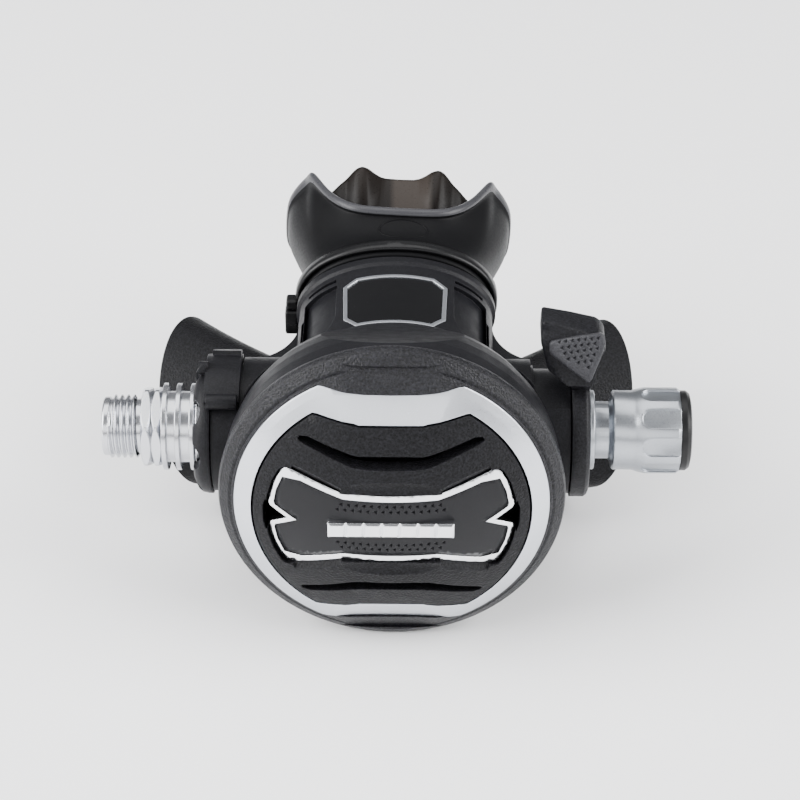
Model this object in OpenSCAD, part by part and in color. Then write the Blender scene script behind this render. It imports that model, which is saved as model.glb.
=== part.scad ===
// Second stage of a scuba regulator: a demand valve with a front purge cover,
// a transverse valve barrel with a hose inlet and an adjusting knob, an airflow
// lever, an exhaust tee and a silicone mouthpiece.
// Every piece is drawn about the valve axis (X, left to right) with the cover
// facing -Y, then moved so that the origin is at the middle of the footprint.

/* [Front cover] */
// Outer radius of the front ring
ring_r = 37.7; // [37:0.1:39]
// Radius of the sphere that the cover, trim and ring follow
dome_r = 60; // [56:1:70]
// Height of that sphere in front of the valve axis
dome_h = 39.4; // [39:0.1:40]
// Radius of the purge cover
cover_r = 29.8; // [29:0.1:30]
// Half height of the purge cover at its flattened top and bottom
cover_flat = 23.2; // [22.5:0.1:24]
// Outer radius of the bright trim ring
trim_r = 34.1; // [33.6:0.1:34.4]
// Half height of the trim ring at its flattened top and bottom
trim_flat = 29.4; // [29:0.1:30]
// Depth of the trim ring
trim_depth = 2.1; // [1.6:0.1:2.4]
// Radius of the flattened facets at the top and bottom of the front
facet_r = 55; // [53:0.5:58]
// Thickness of the purge cover's shell
cover_wall = 3.4; // [3:0.1:3.8]
// Travel of the purge cover
purge_travel = 3; // [1:0.5:3]

/* [Purge badge] */
// How far the badge's frame lies below the cover's surface
badge_sink = 0.9; // [0.6:0.1:1.2]
// Thickness of the badge's frame
badge_t = 1.5; // [1.2:0.1:1.6]
// Half length of the plain ribbed bar on the badge
bar_half = 13.5; // [11:0.5:14.5]
// Number of blocks in the bar
bar_blocks = 7; // [3:1:9]

/* [Housing] */
// Outer radius of the housing behind the front ring
case_r = 37.2; // [36.5:0.1:37.4]
// Radius of the chamber behind the diaphragm
chamber_r = 29.5; // [28:0.5:30]
// Radius of the transverse boss round the valve barrel
boss_r = 14.3; // [13.5:0.1:14.5]
// Half length of the transverse boss
boss_half = 40.1; // [39.5:0.1:40.2]
// Half height of the neck that carries the mouthpiece
neck_h = 14; // [13:0.5:15]
// Width of the neck divided by its height
neck_ratio = 1.6; // [1.5:0.05:1.7]
// Height of the neck's axis above the valve axis
neck_z = 9; // [8:0.5:9.5]

/* [Inlet] */
// Radius of the hose thread, 9/16 inch
thread_r = 7.144; // [7:0.001:7.3]
// Left end of the hose thread
x_left = -65.1; // [-66:0.1:-64.5]
// Radius of the cooling fins
fin_r = 9.8; // [9:0.1:10]
// Width across flats of the two hexagons
inlet_hex = 17; // [16:0.5:17.5]

/* [Knob] */
// Right end of the knob's cap
x_right = 66.4; // [66:0.1:67]
// Radius of the knob's fluted grip
knob_r = 9.7; // [9.3:0.1:10.5]
// Number of flats round the grip
knob_flats = 9; // [6:1:12]
// Travel of the adjusting screw
screw_travel = 3; // [1:0.5:3]

/* [Airflow lever] */
// Radius of the lever's hub
hub_r = 15; // [14:0.1:15.2]
// Height of the lever's head above the valve axis
head_z = 31; // [29:0.5:33]

/* [Exhaust tee] */
// Half span of the tee at the middle of its openings
tee_half = 48.5; // [46:0.5:50]
// Wall of the tee
tee_wall = 1.8; // [1.4:0.1:2.2]

/* [Mouthpiece] */
// Rear end of the bite tabs
y_back = 82; // [80:0.5:84]
// Half width of the lip shield
shield_w = 26.6; // [24:0.1:27]
// Half height of the lip shield
shield_h = 15.2; // [14:0.2:16]
// Turn of the soft shield on the neck, in degrees
shield_turn = 3; // [0:0.5:4]

/* [Hidden] */
$fn = 72;
y_front = -38.9;            // face of the raised bar on the badge
rest_z = ring_r;            // the valve axis is this far above the surface
valve_r = 7;                // outside of the valve barrel
bore_r = 4.7;               // bore of the valve barrel
sleeve_r = 11.05;           // outside of the airflow sleeve
nut_r = 9.42;               // adjuster nut where the lever's hub turns
seat_f = 17;                // diaphragm seat, in front of the valve axis
ring_f = 23.9;              // rear face of the front ring
lip_f = 26.9;               // underside of the front ring's lip
flange_f = 25.9;            // back of the purge cover's flange
port_z = -21;               // axis of the exhaust port
port_r = 14.2;              // outside of the exhaust port
port_y = 13;                // rear face of the exhaust port
boss_back = 2.6;            // how far the boss is carried back beside the shell
boss_end = 39.1;            // right end of the boss, beside the lever's hub
back_x = [-33.5, 30.5];     // ends of the part that is carried back
pivot = [15, -9.4];         // demand lever's pivot, x and y
plate_gap = 0.15;           // clearance round fitted plates

// ---- placing ----

// moves a piece from the valve axis to the part's own origin
module placed() {
    translate([-(x_left + x_right) / 2, -(y_front + y_back) / 2, rest_z]) children();
}

// draws children with local z towards the front and local y up
module to_front() { rotate([90, 0, 0]) children(); }

// draws children with local z along the valve axis, starting at x
module along_x(x) { translate([x, 0, 0]) rotate([0, 90, 0]) children(); }

// draws children with local z towards the rear, starting at y
module to_rear(y, z) { translate([0, y, z]) rotate([-90, 0, 0]) children(); }

// a ring or tube on the valve axis
module tube_x(x0, x1, r_out, r_in) {
    along_x(x0) difference() {
        cylinder(r = r_out, h = x1 - x0);
        if (r_in > 0) translate([0, 0, -1]) cylinder(r = r_in, h = x1 - x0 + 2);
    }
}

// ---- outlines ----

// four-fold symmetric polygon from the points of its upper right quarter
function quarter(p) = concat(p, [for (i = [len(p) - 1:-1:0]) [p[i][0], -p[i][1]]],
    [for (q = p) -q], [for (i = [len(p) - 1:-1:0]) [-p[i][0], p[i][1]]]);

// outline of the purge cover, grown by g
module cover_outline(g = 0) {
    intersection() {
        circle(r = cover_r + g, $fn = 144);
        polygon(quarter([[0.01, cover_flat + g], [6.8, cover_flat + g + 0.05],
            [7.8, cover_flat + g + 0.35], [15.6, cover_flat + g + 1.65], [50, cover_flat + g + 1.65]]));
    }
}

// outer outline of the trim ring, grown by g
module trim_outline(g = 0) {
    intersection() {
        circle(r = trim_r + g, $fn = 144);
        polygon(quarter([[0.01, trim_flat + g], [6, trim_flat + g + 0.1],
            [10.6, trim_flat + g + 0.5], [14.1, trim_flat + g + 1.05], [50, trim_flat + g + 1.05]]));
    }
}

// the long bent vent above the badge
module vent_outline() {
    half = [[6.8, 17.6], [8.4, 17.9], [17.6, 20.5], [19.3, 20.3], [19.8, 19.6], [19.3, 19.1],
        [8.2, 15.1], [5, 14.8]];
    polygon(concat(half, [for (i = [len(half) - 1:-1:0]) [-half[i][0], half[i][1]]]));
}

// outer outline of the bow-tie badge
badge_outer = [[0.01, 8.5], [10.4, 8.6], [21.4, 12.25], [22.6, 12.2], [23.5, 11.4],
    [25, 8.5], [26, 5], [26.3, 2.9], [26, 2.1], [22.3, 0.01]];
// inner outline of its frame
badge_inner = [[0.01, 7.1], [10.1, 7.15], [19.3, 10], [23.2, 9.9], [24.6, 6.5],
    [25.2, 3.4], [25, 2.6], [20.3, 0.01]];

// plan of the neck's name plate, as a list of points, grown by g
function plate_outline(g) = [[-9 - g * 0.4, 28.3 + g], [9 + g * 0.4, 28.3 + g],
    [11.9 + g, 25.7 + g * 0.4], [11.5 + g, 12], [8.6 + g * 0.4, 7.9 - g],
    [-8.6 - g * 0.4, 7.9 - g], [-11.5 - g, 12], [-11.9 - g, 25.7 + g * 0.4]];

// ---- shared forms ----

// the sphere that the front follows, grown by g
module dome(g = 0) {
    translate([0, 0, dome_h - dome_r]) sphere(r = dome_r + g, $fn = 180);
}

// everything above that sphere inside a tall prism
module above_dome(g) {
    difference() {
        linear_extrude(46) children();
        dome(g);
    }
}

// room above the flattened facets at the top and the bottom of the front
module facets() {
    facet_f = dome_h - facet_r;
    for (s = [0, 1]) mirror([0, s, 0]) difference() {
        translate([-16, 17, 20]) cube([32, 17.8, 26]);
        along_x(-17) translate([-facet_f, 0, 0]) cylinder(r = facet_r, h = 34, $fn = 180);
    }
}

// the neck's body, grown by g, from y0 to y1
module neck_tube(g, y0, y1) {
    translate([0, 0, neck_z]) scale([neck_ratio, 1, 1])
        to_rear(y0, 0) cylinder(r = neck_h + g, h = y1 - y0);
}

// skin between two grown copies of the neck
module neck_skin(g0, g1) {
    difference() {
        neck_tube(g1, 5, 31.5);
        neck_tube(g0, 4, 33);
    }
}

// helical tube: mean radius, wire radius, length and turns, local z up
module coil(r, wire, len, turns) {
    sides = 6;
    steps = round(turns * 8);
    rise = len - 2 * wire;
    pitch_angle = atan(rise / (2 * PI * r * turns));
    pts = [for (i = [0:steps], k = [0:sides - 1])
        let (a = 360 * turns * i / steps, b = 360 * k / sides)
        [(r + wire * cos(b)) * cos(a) + wire * sin(b) * sin(pitch_angle) * sin(a),
         (r + wire * cos(b)) * sin(a) - wire * sin(b) * sin(pitch_angle) * cos(a),
         wire + rise * i / steps + wire * sin(b) * cos(pitch_angle)]];
    faces = concat(
        [[for (k = [0:sides - 1]) k]],
        [for (i = [0:steps - 1], k = [0:sides - 1]) let (a = i * sides + k, b = i * sides + (k + 1) % sides)
            [a, a + sides, b]],
        [for (i = [0:steps - 1], k = [0:sides - 1]) let (a = i * sides + k, b = i * sides + (k + 1) % sides)
            [b, a + sides, b + sides]],
        [[for (k = [sides - 1:-1:0]) steps * sides + k]]);
    gap = rise / turns - 2 * wire;
    echo("gap between curls", gap);
    polyhedron(points = pts, faces = faces, convexity = 10);
}

// closed skin through rings of equal length; open rings get end caps
module loft(rings, closed = false) {
    n = len(rings[0]);
    m = len(rings);
    last = closed ? m - 1 : m - 2;
    side = [for (i = [0:last], k = [0:n - 1]) let (a = i * n + k, b = i * n + (k + 1) % n,
        c = ((i + 1) % m) * n + k, d = ((i + 1) % m) * n + (k + 1) % n) each [[a, b, c], [b, d, c]]];
    caps = closed ? [] : [for (k = [1:n - 2]) each [[0, k + 1, k],
        [(m - 1) * n, (m - 1) * n + k, (m - 1) * n + k + 1]]];
    polyhedron(points = [for (r = rings, p = r) p], faces = concat(side, caps), convexity = 10);
}

// ---- housing ----

// bell-shaped shell behind the front ring, with a flat ramp up from the neck
module case_shell() {
    difference() {
        to_front() rotate_extrude() polygon([[0, -10], [16, -10], [20.5, -6.5], [24, -3.5],
            [27.1, -0.4], [30.6, 3.5], [33.2, 7], [35, 10], [36.2, 13], [case_r - 0.3, 16.5], [case_r, 20],
            [case_r, 23.3], [case_r - 0.4, 23.8], [0, 23.8]]);
        translate([-20, 0, 0]) rotate([90, 0, 90]) linear_extrude(40)
            polygon([[-24.5, 38.13], [20, 17.49], [20, 45], [-24.5, 45]]);
    }
}

// chamber behind the diaphragm, inside the shell
module case_chamber() {
    to_front() rotate_extrude() polygon([[0, -6], [16, -6], [18.5, -4], [21.5, -1.5], [24, 1], [26.6, 4.5],
        [28, 7], [chamber_r, 11], [chamber_r, 34], [0, 34]]);
}

// tube round the valve; beside the shell it is carried back, with a web into the neck's corner
module boss() {
    web = [12, 15];
    web_x = neck_ratio * neck_h - 0.1 + web[0];
    web_y = 13.4 + web[1];
    tube_x(-boss_half, boss_end, boss_r, 0);
    translate([0, boss_back, 0]) tube_x(back_x[0], back_x[1], boss_r, 0);
    translate([back_x[0], 0, 0.02 - boss_r]) cube([back_x[1] - back_x[0], boss_back, 2 * boss_r - 0.04]);
    for (s = [0, 1]) mirror([s, 0, 0]) difference() {
        translate([15, 8, 2]) cube([15.4, web_y - 8, 7.3]);
        translate([web_x, web_y, 1]) scale([web[0] / web[1], 1, 1]) cylinder(r = web[1], h = 10);
    }
}

module neck_outside() {
    translate([0, 0, neck_z]) scale([neck_ratio, 1, 1]) to_rear(0, 0)
        rotate_extrude() polygon([[0, -8], [21, -8], [19, -3.5], [17.5, 0], [15.7, 4], [14.1, 8],
            [neck_h, 12], [neck_h, 32.6], [neck_h + 0.5, 33.4], [neck_h + 0.5, 35.6],
            [neck_h - 0.3, 36.2], [12.6, 36.2], [12.6, 46.4], [0, 46.4]]);
}

module neck_recesses() {
    // shallow side panels, their crescents and slits
    for (s = [1, -1]) {
        difference() {
            translate([0, 0, neck_z]) linear_extrude(24) polygon([for (p = [[13.4, 28.2], [20.8, 28.2],
                [20.8, 8.4], [16.2, 8.4], [14.2, 12], [13.4, 15]]) [s * p[0], p[1]]]);
            neck_tube(-0.8, 5, 33);
        }
        difference() {
            translate([s * 16.8, 30.2, 26]) cube([6.4, 1.3, 24], center = true);
            neck_tube(-1.6, 5, 33);
        }
        translate([s * 21.1, 16, neck_z + 4]) cube([0.5, 12, 6], center = true);
    }
}

module case() {
    color("#2b2b2e") placed() difference() {
        union() {
            case_shell();
            // threaded spigot that carries the front ring
            to_front() translate([0, 0, 20]) cylinder(r = 34.4, h = 5.4);
            boss();
            neck_outside();
            to_rear(-16, port_z) cylinder(r = port_r, h = port_y + 16);
        }
        // chamber and diaphragm seat
        case_chamber();
        to_front() translate([0, 0, seat_f]) cylinder(r = 32, h = 20);
        // room for the airflow vane, and the bores of the boss
        tube_x(-29, 30, 11.7, 0);
        tube_x(-50, 0, 7.08, 0);
        tube_x(20, 50, sleeve_r + 0.08, 0);
        // step at the right end of the boss that the lever's arm swings over
        sector_x(31, 41, 20, 13.6, 53, 150);
        // airway
        translate([0, 0, neck_z]) scale([neck_ratio, 1, 1]) to_rear(3, 0)
            cylinder(r = 10.6, h = 50);
        // exhaust port: chamber, spoked seat and the valve's hole
        to_rear(-10, port_z) cylinder(r = 12, h = 21.2);
        to_rear(0, port_z) {
            cylinder(r = 1.75, h = 30);
            for (a = [0:60:300]) rotate(a) translate([7.3, 0, 0]) cylinder(r = 3.1, h = 30);
        }
        neck_recesses();
        // pocket of the name plate
        difference() {
            translate([0, 0, 14]) linear_extrude(20) polygon(plate_outline(plate_gap));
            neck_tube(-0.95, 4, 34);
        }
    }
}

module neck_frame() {
    color("#c9ccd2") placed() difference() {
        intersection() {
            translate([0, 0, 15]) linear_extrude(20) polygon(plate_outline(0));
            neck_skin(-0.85, 0.15);
        }
        translate([0, 0, 10]) linear_extrude(30) polygon(plate_outline(-0.95));
    }
}

module neck_plate() {
    color("#3a3a3d") placed() intersection() {
        translate([0, 0, 15]) linear_extrude(20) polygon(plate_outline(-1));
        neck_skin(-0.85, -0.1);
    }
}

// ---- front cover ----

module front_ring() {
    round_r = 3;
    color("#26262a") placed() to_front() difference() {
        rotate_extrude($fn = 144) difference() {
            intersection() {
                union() {
                    translate([ring_r - round_r, 24.9]) circle(r = round_r, $fn = 96);
                    translate([0, 20.4]) square([ring_r - round_r, 20]);
                }
                translate([0, dome_h - dome_r]) circle(r = dome_r, $fn = 360);
            }
            translate([-1, 0]) square([31.9, lip_f]);
            translate([31.92, 0]) square([2.58, 25.6]);
            translate([34, 0]) square([10, ring_f]);
        }
        linear_extrude(50) cover_outline(0.45);
        above_dome(-trim_depth - 0.05) trim_outline(0.06);
        facets();
    }
}

module trim_ring() {
    color("#cfd3d8") placed() to_front() difference() {
        intersection() {
            linear_extrude(46) difference() {
                trim_outline();
                cover_outline(0.5);
            }
            dome(0.05);
        }
        dome(-trim_depth);
        facets();
    }
}

module front_guard() {
    // spoked guard that carries the purge spring in front of the diaphragm
    hub_f = 21;
    color("#3c3c40") placed() to_front() {
        difference() {
            union() {
                translate([0, 0, 18.7]) difference() {
                    cylinder(r = 31.9, h = 1.65);
                    translate([0, 0, -1]) cylinder(r = 27.2, h = 4);
                }
                translate([0, 0, hub_f]) cylinder(r = 7.2, h = 2);
                for (a = [0:60:300]) rotate(a) {
                    translate([6, -1.2, hub_f]) cube([21, 2.4, 1.2]);
                    translate([26.4, -1.2, 18.9]) cube([2.2, 2.4, 3.3]);
                }
            }
            translate([0, 0, hub_f - 1]) cylinder(r = 3.3, h = 5);
        }
    }
}

// bevel along one sloping edge of the badge's pocket
module pocket_bevel() {
    translate([10.6, 9.35, 36.95]) rotate([0, 0, 19.3]) rotate([0, 18.7, 0]) rotate([40, 0, 0])
        translate([0, -1, 0]) cube([11.6, 4, 3]);
}

module purge_cover() {
    color("#2a2a2d") placed() to_front() difference() {
        union() {
            intersection() {
                translate([0, 0, flange_f]) linear_extrude(20) cover_outline();
                difference() {
                    dome();
                    dome(-cover_wall);
                }
            }
            // skirt and retaining flange
            intersection() {
                translate([0, 0, flange_f]) linear_extrude(8) difference() {
                    cover_outline();
                    cover_outline(-2);
                }
                dome(-0.5);
            }
            translate([0, 0, flange_f]) linear_extrude(0.8) difference() {
                cover_outline(0.75);
                cover_outline(-1.5);
            }
            // stem that presses on the diaphragm's disc
            translate([0, 0, 19.6]) cylinder(r = 3, h = 17);
        }
        // vents, badge pocket, side windows, finger hollows and scoops
        for (s = [0, 1]) mirror([0, s, 0]) translate([0, 0, 20]) linear_extrude(30) vent_outline();
        above_dome(-badge_sink - badge_t - 0.05) scale([1.02, 1.045]) polygon(quarter(badge_outer));
        for (s = [0, 1]) mirror([s, 0, 0]) translate([0, 0, 24]) linear_extrude(30)
            polygon([[22, 0.5], [26.2, 2.9], [27, 4.1], [27.6, 2], [27.6, -2], [27, -4.1], [26.2, -2.9],
                [22, -0.5]]);
        for (s = [1, -1]) translate([-10, s * 10.4, 40.6]) rotate([0, 90, 0]) cylinder(r = 3, h = 20);
        for (s = [0, 1], t = [0, 1]) mirror([s, 0, 0]) mirror([0, t, 0]) pocket_bevel();
        facets();
    }
}

module badge_frame() {
    color("#d8dadf") placed() to_front() difference() {
        intersection() {
            linear_extrude(46) difference() {
                polygon(quarter(badge_outer));
                polygon(quarter(badge_inner));
            }
            dome(-badge_sink);
        }
        dome(-badge_sink - badge_t);
    }
}

module badge_panel() {
    color("#45464a") placed() to_front() difference() {
        intersection() {
            linear_extrude(46) offset(delta = -0.05) polygon(quarter(badge_inner));
            dome(-badge_sink - 0.35);
        }
        dome(-badge_sink - badge_t);
    }
}

module badge_bar() {
    // plain bar at the middle of the badge: bevelled blocks in one row, parted by grooves
    block = 2 * bar_half / bar_blocks;
    color("#e2e4e6") placed() to_front() difference() {
        translate([-bar_half, -1.8, 36]) cube([2 * bar_half, 3.6, -y_front - 36]);
        dome(-badge_sink - 0.33);
        for (i = [0:bar_blocks]) translate([i * block - bar_half, 0, -y_front])
            rotate([0, 45, 0]) cube([0.8, 4, 0.8], center = true);
        for (s = [1, -1]) translate([0, s * 1.8, -y_front])
            rotate([45, 0, 0]) cube([2 * bar_half + 1, 0.6, 0.6], center = true);
    }
}

module purge_spring() {
    color("#b9bcc0") placed() to_front() translate([0, 0, 23.05]) coil(5.2, 0.45, 12.8, 6);
}

// ---- diaphragm and demand lever ----

module diaphragm() {
    color("#5a5a60") placed() to_front() rotate_extrude() polygon([[2.65, 17.6], [19, 17.6], [21, 15.6],
        [24, 15.2], [26.6, 17.4], [29.6, 17.05], [31.9, 17.05], [31.9, 18.65], [29.6, 18.65],
        [29, 18.2], [26.2, 18.1], [23.6, 15.9], [21.4, 16.3], [19.4, 18.2], [2.65, 18.2]]);
}

module diaphragm_disc() {
    color("#8d9096") placed() to_front() {
        translate([0, 0, 18.25]) cylinder(r = 12, h = 1.25);
        translate([0, 0, 17.2]) cylinder(r = 2.5, h = 1.5);
        translate([0, 0, 16.95]) cylinder(r = 9, h = 0.6);
    }
}

module demand_lever() {
    // bent strip: tip under the disc, pivot on the barrel, foot against the poppet
    strip = [[-1, -15.85], [3, -14.4], [11.4, -11.8], pivot];
    foot = [pivot[0] + 0.2, -3.4];
    color("#aeb2b8") placed() difference() {
        union() {
            translate([0, 0, -3.1]) linear_extrude(6.2) {
                for (i = [0:len(strip) - 2]) hull() {
                    translate(strip[i]) circle(r = 0.6, $fn = 24);
                    translate(strip[i + 1]) circle(r = 0.6, $fn = 24);
                }
                hull() {
                    translate(pivot) circle(r = 0.7, $fn = 24);
                    translate(foot) circle(r = 0.7, $fn = 24);
                }
            }
            translate([-1, -15.95, -3.1]) cylinder(r = 0.9, h = 6.2);
            translate([pivot[0], pivot[1], -3.1]) cylinder(r = 2, h = 6.2);
        }
        translate([pivot[0], pivot[1], -5]) cylinder(r = 1.06, h = 10);
    }
}

module lever_pin() {
    color("#9a9da2") placed() translate([pivot[0], pivot[1], -5.6]) cylinder(r = 1, h = 11.2);
}

// ---- valve ----

module valve_barrel() {
    color("#b7bbc1") placed() difference() {
        union() {
            tube_x(-43.4, 40, valve_r, 0);
            for (s = [1, -1]) translate([pivot[0] - 2.2, -11.6, s * 4.5 - 1]) cube([4.4, 7, 2]);
        }
        tube_x(-50, 50, bore_r, 0);
        tube_x(-50, -30, 5.65, 0);
        tube_x(34.5, 50, 6.5, 0);
        // slot for the lever's foot, and the outlet towards the neck
        translate([12.6, -12, -3.3]) cube([6.2, 10, 6.6]);
        translate([-14, 0, 0]) rotate([-60, 0, 0]) cylinder(r = 3, h = 12);
        translate([pivot[0], pivot[1], -8]) cylinder(r = 1.02, h = 16);
        // groove for the ring seal at the left
        difference() {
            tube_x(-35.6, -33.6, 8, 0);
            tube_x(-36, -33, 6.2, 0);
        }
    }
}

module inlet_oring() {
    color("#1c1c1e") placed() along_x(-34.6) rotate_extrude() translate([6.63, 0]) circle(r = 0.42, $fn = 24);
}

module orifice_seat() {
    color("#c3a76b") placed() along_x(-29.9) rotate_extrude() polygon([[2, 0], [4.62, 0], [4.62, 5.4],
        [3.9, 5.9], [3.9, 6.8], [2.6, 7.9], [2.2, 7.9], [2, 7.5]]);
}

module poppet_seat() {
    color("#202022") placed() tube_x(-21.9, -20, 3.4, 0);
}

module poppet() {
    color("#d5d3cc") placed() difference() {
        along_x(-21.6) rotate_extrude() polygon([[0, 1.7], [3.45, 1.7], [3.45, 0], [4.62, 0], [4.62, 12],
            [2.2, 13.5], [2.2, 37.8], [4.62, 37.8], [4.62, 41.2], [2.4, 41.2], [2.4, 44.6], [0, 44.6]]);
        // flats that let the air past
        for (a = [0:90:270]) rotate([a, 0, 0]) translate([-22, 3.9, -3]) cube([14, 3, 6]);
    }
}

module poppet_spring() {
    color("#b9bcc0") placed() along_x(19.65) coil(3.45, 0.4, 11.3, 6);
}

// ---- adjuster ----

module spring_pad() {
    // slides in the barrel and carries the knob on its stem
    color("#c2c5ca") placed() along_x(31) rotate_extrude() polygon([[0, 0], [4.6, 0], [4.6, 1], [3.7, 1],
        [3.7, 2.6], [4.6, 2.6], [4.6, 3.4], [2.4, 3.4], [2.4, 27], [1.44, 27], [1.44, 25.6], [0, 25.6]]);
}

module pad_oring() {
    color("#1c1c1e") placed() along_x(32.8) rotate_extrude() translate([4.17, 0]) circle(r = 0.44, $fn = 24);
}

module adjuster_nut() {
    color("#c4c7cc") placed() along_x(35.6) rotate_extrude() polygon([[7.02, 0], [nut_r, 0], [nut_r, 8],
        [8.9, 8.1], [8.9, 9], [8.7, 9.2], [6.5, 9.2], [6.5, 4.5], [7.02, 4.5]]);
}

module knob() {
    grip_0 = 54;
    grip_1 = 63.9;
    color("#c4c8cd") placed() difference() {
        along_x(0) rotate_extrude() polygon([[2.45, 38], [6.42, 38], [6.42, 48], [7.6, 48.5], [8.5, 48.7],
            [8.9, 49.1], [8.9, 53.2], [knob_r - 0.3, grip_0 + 0.8], [knob_r, grip_0 + 2.2],
            [knob_r, grip_1 - 0.7], [knob_r - 0.5, grip_1], [7.8, grip_1], [7.8, 60], [2.45, 60]]);
        // flats with a round end towards the collar
        for (i = [0:knob_flats - 1]) rotate([i * 360 / knob_flats, 0, 0]) translate([0, 0, knob_r - 0.8]) {
            translate([grip_0 + 3.4, -2.2, 0]) cube([12, 4.4, 5]);
            translate([grip_0 + 3.4, 0, 0]) cylinder(r = 2.2, h = 5);
        }
    }
}

module knob_screw() {
    color("#9ea1a6") placed() difference() {
        along_x(58.1) rotate_extrude() polygon([[0, -1.2], [1.4, -1.2], [1.4, 1.92], [3.6, 1.92],
            [3.6, 4], [0, 4]]);
        tube_x(60.5, 63, 1.5, 0);
    }
}

module knob_cap() {
    color("#232326") placed() along_x(0) rotate_extrude() polygon([[0, 62.4], [7.75, 62.4],
        [7.75, 63.95], [9, 63.95], [9, 65.3], [8.4, 66.1], [7.2, x_right], [0, x_right]]);
}

// ---- inlet ----

module hex_flange(x0, x1) {
    // hexagon with its corners turned off
    intersection() {
        along_x(x0) rotate(30) cylinder(r = inlet_hex / sqrt(3), h = x1 - x0, $fn = 6);
        along_x(x0) rotate_extrude() polygon([[0, 0], [8.6, 0], [9.5, 0.6], [9.5, x1 - x0 - 0.6],
            [8.6, x1 - x0], [0, x1 - x0]]);
    }
}

module inlet_connector() {
    color("#cfd2d6") placed() difference() {
        union() {
            along_x(0) rotate_extrude() polygon([[0, x_left], [6.3, x_left], [thread_r, x_left + 0.9],
                [thread_r, -57.1], [6.3, -56.9], [6.3, -56], [7.8, -56], [7.8, -44.6], [6.2, -44.2],
                [5.6, -43.9], [5.6, -30.1], [0, -30.1]]);
            hex_flange(-56.3, -54.25);
            hex_flange(-54.15, -52.1);
            for (x = [-52.1, -48.9, -46]) tube_x(x, x + 1.7, fin_r, 0);
            along_x(-52) cylinder(r = 8.3, h = 7, $fn = 6);
        }
        tube_x(-70, -20, 3.2, 0);
        tube_x(-70, -60, 4.6, 0);
    }
}

module barrel_nut() {
    color("#c5c8cd") placed() difference() {
        along_x(-43.9) rotate(30) cylinder(r = 9.6, h = 2.4, $fn = 6);
        tube_x(-50, -30, 7.02, 0);
    }
}

module inlet_collar() {
    color("#2d2d30") placed() along_x(0) rotate_extrude() polygon([[10.9, -44.2], [12.6, -44.2],
        [13.8, -43.6], [14.6, -42.6], [14.9, -41.4], [14.9, -40.3], [7.1, -40.3], [7.1, -41.3],
        [10.9, -41.3]]);
}

// sector of a tube on the valve axis between two angles from the front over the top
module sector_x(x0, x1, r_out, r_in, a0, a1) {
    intersection() {
        tube_x(x0, x1, r_out, r_in);
        along_x(x0 - 1) linear_extrude(x1 - x0 + 2) polygon(concat([[0, 0]],
            [for (i = [0:6]) let (a = a0 + (a1 - a0) * i / 6) 40 * [-sin(a), -cos(a)]]));
    }
}

module collar_clip() {
    // clip over the top of the left boss: shell, rear tab, front roll, and side ear with its pin
    front = 53.5;
    color("#252528") placed() {
        sector_x(-41.6, -40.2, 16.4, 14.95, front, 122);
        sector_x(-40.25, -33.8, 16.4, 14.35, front, 122);
        sector_x(-40.5, -34.1, 17.4, 16.2, 112, 122);
        translate([-41, -16.75 * cos(front), 16.75 * sin(front)])
            rotate([0, 90, 0]) cylinder(r = 1.7, h = 6.8);
        difference() {
            translate([-43.1, -0.3, 15.9]) rotate([0, 90, 0]) cylinder(r = 1.55, h = 2.2);
            tube_x(-45, -41, 14.95, 0);
        }
        translate([-42.1, -0.3, 15.9]) rotate([56, 0, 0]) cylinder(r = 0.75, h = 2);
    }
}

// ---- airflow lever ----

module airflow_lever() {
    // hub, raised arm and the sleeve that reaches into the housing
    arm_side = [[-3.4, 9], [-5.4, 14.5], [-8, 17], [-4.4, 27.4], [-3.6, 28.4], [-3.3, head_z + 1],
        [2.9, head_z + 1], [4.1, head_z - 2], [4.6, 20], [4.4, 9]];
    arm_front = [[32.4, head_z - 0.4], [44.4, head_z - 3.4], [45.3, head_z - 4.2], [46.3, 25.6],
        [46.3, 24.2], [43.6, 17.2], [43.2, 14.6], [43.5, 8], [39.5, 8], [39.5, 13], [38.8, 16.4],
        [33.6, 20.6], [32.2, 25.8]];
    color("#242427") placed() difference() {
        union() {
            along_x(0) rotate_extrude() polygon([[9.5, 39.4], [hub_r, 39.4], [hub_r, 42.5],
                [hub_r - 0.5, 43.2], [hub_r - 1.2, 43.5], [9.5, 43.5]]);
            intersection() {
                translate([30, 0, 0]) rotate([90, 0, 90]) linear_extrude(20) polygon(arm_side);
                translate([0, 10, 0]) rotate([90, 0, 0]) linear_extrude(22) polygon(arm_front);
            }
            tube_x(26, 41, sleeve_r, 9.5);
        }
        tube_x(38, 50, 9.5, 0);
    }
}

module lever_pad() {
    // five-sided thumb pad on the slope of the lever's head
    slope = atan2(3.6, 10.6);
    color("#515156") placed() translate([0, -8, 17]) rotate([-slope, 0, 0]) rotate([90, 0, 0])
        translate([0, 0, 0.05]) linear_extrude(1.3) polygon([[34.1, 9.5], [34.8, 10.2], [45.3, 11.4],
            [46.1, 11], [46.2, 9.8], [43.4, 1.5], [42.7, 1], [41.9, 1.3], [34.9, 7.1], [34.1, 8.2]]);
}

module airflow_vane() {
    // curved vane that turns with the lever round the valve barrel
    color("#4a4a4f") placed() union() {
        sector_x(-14, 25.9, sleeve_r - 0.1, 9.6, 120, 185);
        tube_x(22.5, 25.9, sleeve_r - 0.1, 9.6);
    }
}

// ---- exhaust ----

module exhaust_valve() {
    color("#3a3a3e") placed() to_rear(0, port_z) rotate_extrude() polygon([[0, 8.8], [2.1, 9.6], [2.1, 10.9],
        [1.62, 11.1], [1.62, 13.05], [11.6, 13.05], [11.8, 13.5], [4, 14.1], [0, 14.3]]);
}

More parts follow.
